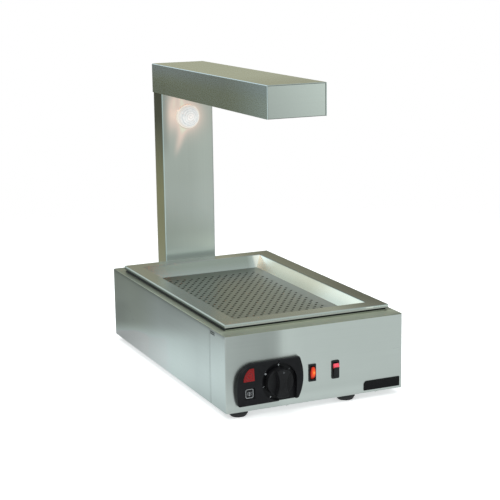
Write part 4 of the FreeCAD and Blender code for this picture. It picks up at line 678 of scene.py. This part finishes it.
def solid_outline(bm, pts, origin, ex, ez, ey, t):
    """A closed plate: the 2-D outline pts, laid out along ex and ez from origin, with thickness t along ey."""
    bottom = [bm.verts.new(origin + ex * a + ez * b) for a, b in pts]
    top = [bm.verts.new(origin + ex * a + ez * b + ey * t) for a, b in pts]
    bm.faces.new(top)
    bm.faces.new(list(reversed(bottom)))
    n = len(pts)
    for i in range(n):
        j = (i + 1) % n
        bm.faces.new((bottom[i], bottom[j], top[j], top[i]))


def bar_pts(w, h, r, seg=4):
    """A rounded bar, w wide and h tall, centred."""
    r = min(r, w / 2, h / 2)
    out = []
    for cx, cz, a0 in ((w / 2 - r, h / 2 - r, 0), (-w / 2 + r, h / 2 - r, 90), (-w / 2 + r, -h / 2 + r, 180), (w / 2 - r, -h / 2 + r, 270)):
        for i in range(seg + 1):
            a = math.radians(a0 + 90.0 * i / seg)
            out.append((cx + r * math.cos(a), cz + r * math.sin(a)))
    return out


X, Y, Z = Vector((1, 0, 0)), Vector((0, 1, 0)), Vector((0, 0, 1))

# printed marks round the dial, on the floor of the recess
REC_Y = FRONT_Y - 0.0028
bm = bmesh.new()
for deg, rad, w, h in ((5, 0.0285, 0.0018, 0.0040), (-51, 0.0300, 0.0007, 0.0026),
                       (-107, 0.0282, 0.0009, 0.0034), (-154, 0.0316, 0.0009, 0.0040)):
    a = math.radians(deg)
    er = Vector((math.sin(a), 0, math.cos(a)))
    et = Vector((math.cos(a), 0, -math.sin(a)))
    solid_outline(bm, bar_pts(w, h, w / 2), Vector((KX, REC_Y, KZ)) + er * rad, et, er, -Y, 0.00012)
# the zero mark is a short fat drop
a = math.radians(-58)
er = Vector((math.sin(a), 0, math.cos(a)))
et = Vector((math.cos(a), 0, -math.sin(a)))
drop = []
for i in range(20):
    t = 2 * math.pi * i / 20
    rr = 0.00150 * (1 + 0.22 * math.sin(t))
    drop.append((rr * math.cos(t) * 1.05, rr * math.sin(t) * 1.35))
solid_outline(bm, drop, Vector((KX, REC_Y, KZ)) + er * 0.0268, et, er, -Y, 0.00012)
make("dial_marks", bm, print_white, "chassis")
# fainter marks on the far side of the dial
bm = bmesh.new()
for deg, rad, w, h in ((51, 0.0292, 0.0009, 0.0028), (100, 0.0292, 0.0009, 0.0028)):
    a = math.radians(deg)
    er = Vector((math.sin(a), 0, math.cos(a)))
    et = Vector((math.cos(a), 0, -math.sin(a)))
    solid_outline(bm, bar_pts(w, h, w / 2), Vector((KX, REC_Y, KZ)) + er * rad, et, er, -Y, 0.00012)
make("dial_marks_far", bm, print_grey, "chassis")

# pointer mark on the front of the grip bar, near its top
kb0, kb1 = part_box("thermostat_knob")
a = KNOB_ANGLE
er = Vector((math.sin(a), 0, math.cos(a)))
et = Vector((math.cos(a), 0, -math.sin(a)))
bm = bmesh.new()
solid_outline(bm, bar_pts(0.0008, 0.0034, 0.0004), Vector((KX, kb0.y, KZ)) + er * 0.0206, et, er, -Y, 0.00010)
make("knob_pointer", bm, print_grey, "knob")

# icon: a rounded frame with a small thermometer and two heat waves in it
bm = bmesh.new()
Y0 = Vector((TX, TY, TZ))
ring_o, ring_i = bar_pts(0.0146, 0.0162, 0.0030, 6), bar_pts(0.0129, 0.0145, 0.0022, 6)
vo = [[bm.verts.new(Y0 + X * p[0] + Z * p[1] - Y * d) for p in ring_o] for d in (0.0, 0.00012)]
vi = [[bm.verts.new(Y0 + X * p[0] + Z * p[1] - Y * d) for p in ring_i] for d in (0.0, 0.00012)]
n = len(ring_o)
for i in range(n):
    j = (i + 1) % n
    bm.faces.new((vo[1][i], vo[1][j], vi[1][j], vi[1][i]))
    bm.faces.new((vo[0][j], vo[0][i], vi[0][i], vi[0][j]))
    bm.faces.new((vo[0][i], vo[0][j], vo[1][j], vo[1][i]))
    bm.faces.new((vi[0][j], vi[0][i], vi[1][i], vi[1][j]))


def stroke(bm, pts, w, origin, t=0.00012):
    """A flat ribbon of width w along 2-D points, closed as a thin plate."""
    L, R = [], []
    for i, p in enumerate(pts):
        q0, q1 = pts[max(i - 1, 0)], pts[min(i + 1, len(pts) - 1)]
        d = Vector((q1[0] - q0[0], q1[1] - q0[1])).normalized()
        nx, nz = -d.y, d.x
        L.append((p[0] + nx * w / 2, p[1] + nz * w / 2))
        R.append((p[0] - nx * w / 2, p[1] - nz * w / 2))
    solid = L + list(reversed(R))
    lo = [bm.verts.new(origin + X * a + Z * b) for a, b in solid]
    hi = [bm.verts.new(origin + X * a + Z * b - Y * t) for a, b in solid]
    m = len(pts)
    k = len(solid)
    for i in range(m - 1):
        bm.faces.new((hi[i], hi[i + 1], hi[k - 2 - i], hi[k - 1 - i]))
        bm.faces.new((lo[i + 1], lo[i], lo[k - 1 - i], lo[k - 2 - i]))
    for i in range(k):
        j = (i + 1) % k
        bm.faces.new((lo[i], lo[j], hi[j], hi[i]))


solid_outline(bm, [(0.0012 * math.cos(2 * math.pi * i / 16), 0.0012 * math.sin(2 * math.pi * i / 16) - 0.0030) for i in range(16)], Y0 + X * -0.0001, X, Z, -Y, 0.00012)
stroke(bm, [(-0.0001, -0.0026 + 0.0005 * i) for i in range(12)], 0.0009, Y0)
for sx in (-0.0030, 0.0028):
    stroke(bm, [(sx + 0.00050 * math.sin(i * 0.75), -0.0030 + 0.0005 * i) for i in range(13)], 0.00060, Y0)
make("icon_print", bm, print_icon, "chassis")

# ring and dot printed on the red lens, following its crowned face
lb0, lb1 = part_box("indicator_lens")
pl0, pl1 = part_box("pilot_lamp")
px, pz = (pl0.x + pl1.x) / 2 - 0.0036, (pl0.z + pl1.z) / 2 + 0.0022
CROWN, MID = 0.22035, 0.0116
crown_y0 = FRONT_Y + CROWN - 0.00035 - MID
crown_z0 = (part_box("control_bezel")[0].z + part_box("control_bezel")[1].z) / 2


def on_lens(x, z, lift):
    r = CROWN + lift
    return Vector((x, crown_y0 - math.sqrt(r * r - (z - crown_z0) ** 2), z))


def curved_ring(bm, cx, cz, ra, rb, lift=0.00008, sink=-0.0002, seg=48):
    rows = []
    for r, l in ((ra, sink), (ra, lift), (rb, lift), (rb, sink)):
        rows.append([bm.verts.new(on_lens(cx + r * math.cos(2 * math.pi * i / seg), cz + r * math.sin(2 * math.pi * i / seg), l)) for i in range(seg)])
    for k in range(4):
        a, b = rows[k], rows[(k + 1) % 4]
        for i in range(seg):
            j = (i + 1) % seg
            bm.faces.new((a[i], a[j], b[j], b[i]))


bm = bmesh.new()
curved_ring(bm, px, pz, 0.0053, 0.0062)
curved_ring(bm, px, pz, 0.0005, 0.0012, seg=24)
make("lens_print", bm, print_dark, "chassis")

# resistance coils inside the quartz tubes
q0, q1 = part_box("quartz_tubes")
c0, c1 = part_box("heating_coils")
half = (c1.x - c0.x) / 2 - 0.0022
cz, cx = (c0.z + c1.z) / 2, (c0.x + c1.x) / 2
bm = bmesh.new()
RW, RC, PITCH, SEG = 0.00055, 0.0026, 0.0034, 14
for sx in (-half, half):
    turns = (c1.y - c0.y - 2 * RW) / PITCH
    steps = int(turns * SEG)
    prev = None
    for i in range(steps + 1):
        t = 2 * math.pi * i / SEG
        c = Vector((cx + sx + RC * math.cos(t), c0.y + RW + PITCH * i / SEG, cz + RC * math.sin(t)))
        n1 = Vector((math.cos(t), 0, math.sin(t)))
        tang = Vector((-RC * math.sin(t), PITCH / (2 * math.pi), RC * math.cos(t))).normalized()
        n2 = tang.cross(n1)
        ring = [bm.verts.new(c + n1 * RW * math.cos(k * math.pi / 3) + n2 * RW * math.sin(k * math.pi / 3)) for k in range(6)]
        if prev:
            for k in range(6):
                bm.faces.new((prev[k], prev[(k + 1) % 6], ring[(k + 1) % 6], ring[k]))
        else:
            bm.faces.new(list(reversed(ring)))
        prev = ring
    bm.faces.new(prev)
coils = make("coil_windings", bm, coil, "chassis", smooth=True)
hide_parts("heating_coils")

# ---------------------------------------------------------------------------
# floor, world and lights
# ---------------------------------------------------------------------------
def disc(name, mat):
    bm = bmesh.new()
    segs = 96
    mid = bm.verts.new((0, 0, FLOOR_Z))
    prev = None
    for r in (0.4, 0.8, 1.2, 1.6, 2.2):
        cur = [bm.verts.new((r * math.cos(2 * math.pi * i / segs), r * math.sin(2 * math.pi * i / segs), FLOOR_Z)) for i in range(segs)]
        for i in range(segs):
            j = (i + 1) % segs
            if prev is None:
                bm.faces.new((mid, cur[i], cur[j]))
            else:
                bm.faces.new((prev[i], cur[i], cur[j], prev[j]))
        prev = cur
    me = bpy.data.meshes.new(name)
    bm.to_mesh(me)
    bm.free()
    o = bpy.data.objects.new(name, me)
    scene.collection.objects.link(o)
    me.materials.append(mat.m)
    return o


def faded(m, near, far, at=(0.0, -0.15, 0.0)):
    """Lets a floor run out softly into the white surroundings."""
    tr = m.t.nodes.new("ShaderNodeBsdfTransparent")
    mx = m.t.nodes.new("ShaderNodeMixShader")
    m.t.links.new(m.remap(m.dist((at[0], at[1], FLOOR_Z)), near, far, 0.0, 1.0, True), mx.inputs[0])
    m.t.links.new(m.b.outputs[0], mx.inputs[1])
    m.t.links.new(tr.outputs[0], mx.inputs[2])
    m.t.links.new(mx.outputs[0], m.out.inputs[0])


# the pale floor that the camera sees
fm = Mat("pale_floor", Roughness=0.8)
fm.set("Base_Color", (0.80, 0.80, 0.79))
fm.set("Emission_Color", (1.0, 1.0, 1.0))
fm.b.inputs["Emission Strength"].default_value = 0.50
faded(fm, 0.85, 1.9)
floor = disc("floor", fm)
floor.visible_glossy = False

# the same floor as the polished metal meets it: bright in front, falling off behind the object's left
rm = Mat("floor_in_metal", Roughness=1.0)
fx, fy, fz = rm.xyz()
fall = rm.ramp(rm.remap(fy, -1.0, 1.0), [(0.0, (0.80, 0.80, 0.80)), (0.48, (0.92, 0.92, 0.92)), (0.56, (0.75, 0.75, 0.75)), (0.65, (0.44, 0.44, 0.44)), (0.72, (0.29, 0.29, 0.29)), (1.0, (0.26, 0.26, 0.26))])
lit = rm.mix(rm.remap(fx, 0.0, 0.4, 0.0, 1.0, True), fall, (0.80, 0.80, 0.80))
# painted contact shadow: the mirrored floor is darker within 10 cm of the object's footprint
ox = rm.math("SUBTRACT", rm.math("ABSOLUTE", fx), 0.175)
oy = rm.math("SUBTRACT", rm.math("ABSOLUTE", rm.math("ADD", fy, 0.011)), 0.2975)
od = rm.math("MAXIMUM", rm.math("MAXIMUM", ox, oy), 0.0)
lit = rm.mix(rm.remap(od, 0.0, 0.10, 0.0, 1.0, True), rm.mix(1.0, lit, (0.62, 0.62, 0.62), "MULTIPLY"), lit)
lit = rm.mix(1.0, lit, (0.92, 1.0, 1.0), "MULTIPLY")
rm.set("Base_Color", (0.0, 0.0, 0.0))
rm.b.inputs["Specular IOR Level"].default_value = 0.0
rm.set("Emission_Color", lit)
rm.b.inputs["Emission Strength"].default_value = 1.0
faded(rm, 0.95, 1.9)
gloss_floor = disc("floor_in_metal", rm)
gloss_floor.visible_camera = False
gloss_floor.visible_diffuse = False
gloss_floor.visible_shadow = False
gloss_floor.visible_transmission = False
gloss_floor.location.z = -0.0004

world = bpy.data.worlds.new("studio")
scene.world = world
world.use_nodes = True
wt = world.node_tree
wt.nodes.clear()


class WMat(Mat):
    def __init__(self, tree):
        self.t = tree


W = WMat(wt)
gen = wt.nodes.new("ShaderNodeTexCoord").outputs["Generated"]
wx_, wy_, wz_ = W.xyz(gen)
elev = W.remap(wz_, -1.0, 1.0)


def stops(rows):
    return [((z + 1.0) / 2.0, c) for z, c in rows]


BASE = stops([(-1.0, (0.62, 0.65, 0.63)), (-0.3, (0.56, 0.60, 0.57)), (0.0, (0.58, 0.63, 0.60)), (0.25, (0.60, 0.66, 0.64)), (0.40, (0.76, 0.83, 0.88)), (1.0, (0.92, 0.97, 1.0))])
FRONT = stops([(-1.0, (0.80, 0.84, 0.82)), (0.0, (0.70, 0.78, 0.74)), (0.3, (0.62, 0.69, 0.66)), (0.6, (0.85, 0.9, 0.95)), (1.0, (0.92, 0.97, 1.0))])
BACK = stops([(-1.0, (0.50, 0.50, 0.46)), (-0.40, (0.34, 0.35, 0.28)), (-0.24, (0.12, 0.13, 0.09)), (-0.08, (0.16, 0.16, 0.11)),
              (0.04, (0.40, 0.39, 0.25)), (0.20, (0.50, 0.49, 0.31)), (0.36, (0.58, 0.62, 0.58)), (0.55, (0.82, 0.88, 0.95)), (1.0, (0.92, 0.97, 1.0))])


def toward(v, lo, hi):
    """1 where the sky lies near direction v, falling to 0."""
    n = wt.nodes.new("ShaderNodeVectorMath")
    n.operation = "DOT_PRODUCT"
    wt.links.new(gen, n.inputs[0])
    n.inputs[1].default_value = Vector(v).normalized()
    return W.remap(n.outputs["Value"], lo, hi, 0.0, 1.0, True)


ff = W.remap(wy_, 0.35, -0.35, 0.0, 1.0, True)
sky = W.mix(ff, W.ramp(elev, BASE), W.ramp(elev, FRONT))
near_back = W.math("MAXIMUM", toward((-0.40, 0.89, 0.0), 0.72, 0.93), toward((0.40, 0.89, 0.0), 0.72, 0.93))
sky = W.mix(near_back, sky, W.ramp(elev, BACK))
# a pale window high behind the left, and softer light from the left
sky = W.mix(toward((-0.26, 0.89, 0.34), 0.955, 0.992), sky, (1.05, 1.28, 1.42))
sky = W.mix(toward((-0.89, -0.40, -0.15), 0.90, 0.985), sky, (0.80, 0.95, 0.98))
bg = wt.nodes.new("ShaderNodeBackground")
wt.links.new(sky, bg.inputs[0])
bg.inputs[1].default_value = 1.0
white = wt.nodes.new("ShaderNodeBackground")
white.inputs[0].default_value = (1.0, 1.0, 1.0, 1.0)
white.inputs[1].default_value = 1.0
lp = wt.nodes.new("ShaderNodeLightPath")
mxw = wt.nodes.new("ShaderNodeMixShader")
wt.links.new(lp.outputs["Is Camera Ray"], mxw.inputs[0])
wt.links.new(bg.outputs[0], mxw.inputs[1])
wt.links.new(white.outputs[0], mxw.inputs[2])
wo = wt.nodes.new("ShaderNodeOutputWorld")
wt.links.new(mxw.outputs[0], wo.inputs[0])


def area(name, loc, target, size, power, color=(1, 1, 1)):
    d = bpy.data.lights.new(name, "AREA")
    d.shape = "RECTANGLE"
    d.size, d.size_y = size
    d.energy = power
    d.color = color
    o = bpy.data.objects.new(name, d)
    scene.collection.objects.link(o)
    o.location = loc
    o.rotation_mode = "QUATERNION"
    o.rotation_quaternion = (Vector(target) - Vector(loc)).to_track_quat("-Z", "Y")
    o.visible_camera = False
    return o


area("key", (-1.5, -1.6, 2.2), (0, 0, 0.2), (1.6, 1.6), 22, (1.0, 0.99, 0.97))
area("top", (0.2, 0.3, 2.6), (0, 0, 0.1), (1.8, 1.8), 22, (0.96, 0.98, 1.0)).visible_glossy = False

# the lit lamp and the hot tubes throw a little warm light
pl = bpy.data.lights.new("lamp_light", "POINT")
pl.energy = 0.007
pl.color = (1.0, 0.62, 0.42)
pl.shadow_soft_size = 0.012
plo = bpy.data.objects.new("lamp_light", pl)
scene.collection.objects.link(plo)
plo.location = (LX, LY - 0.012, LZ)
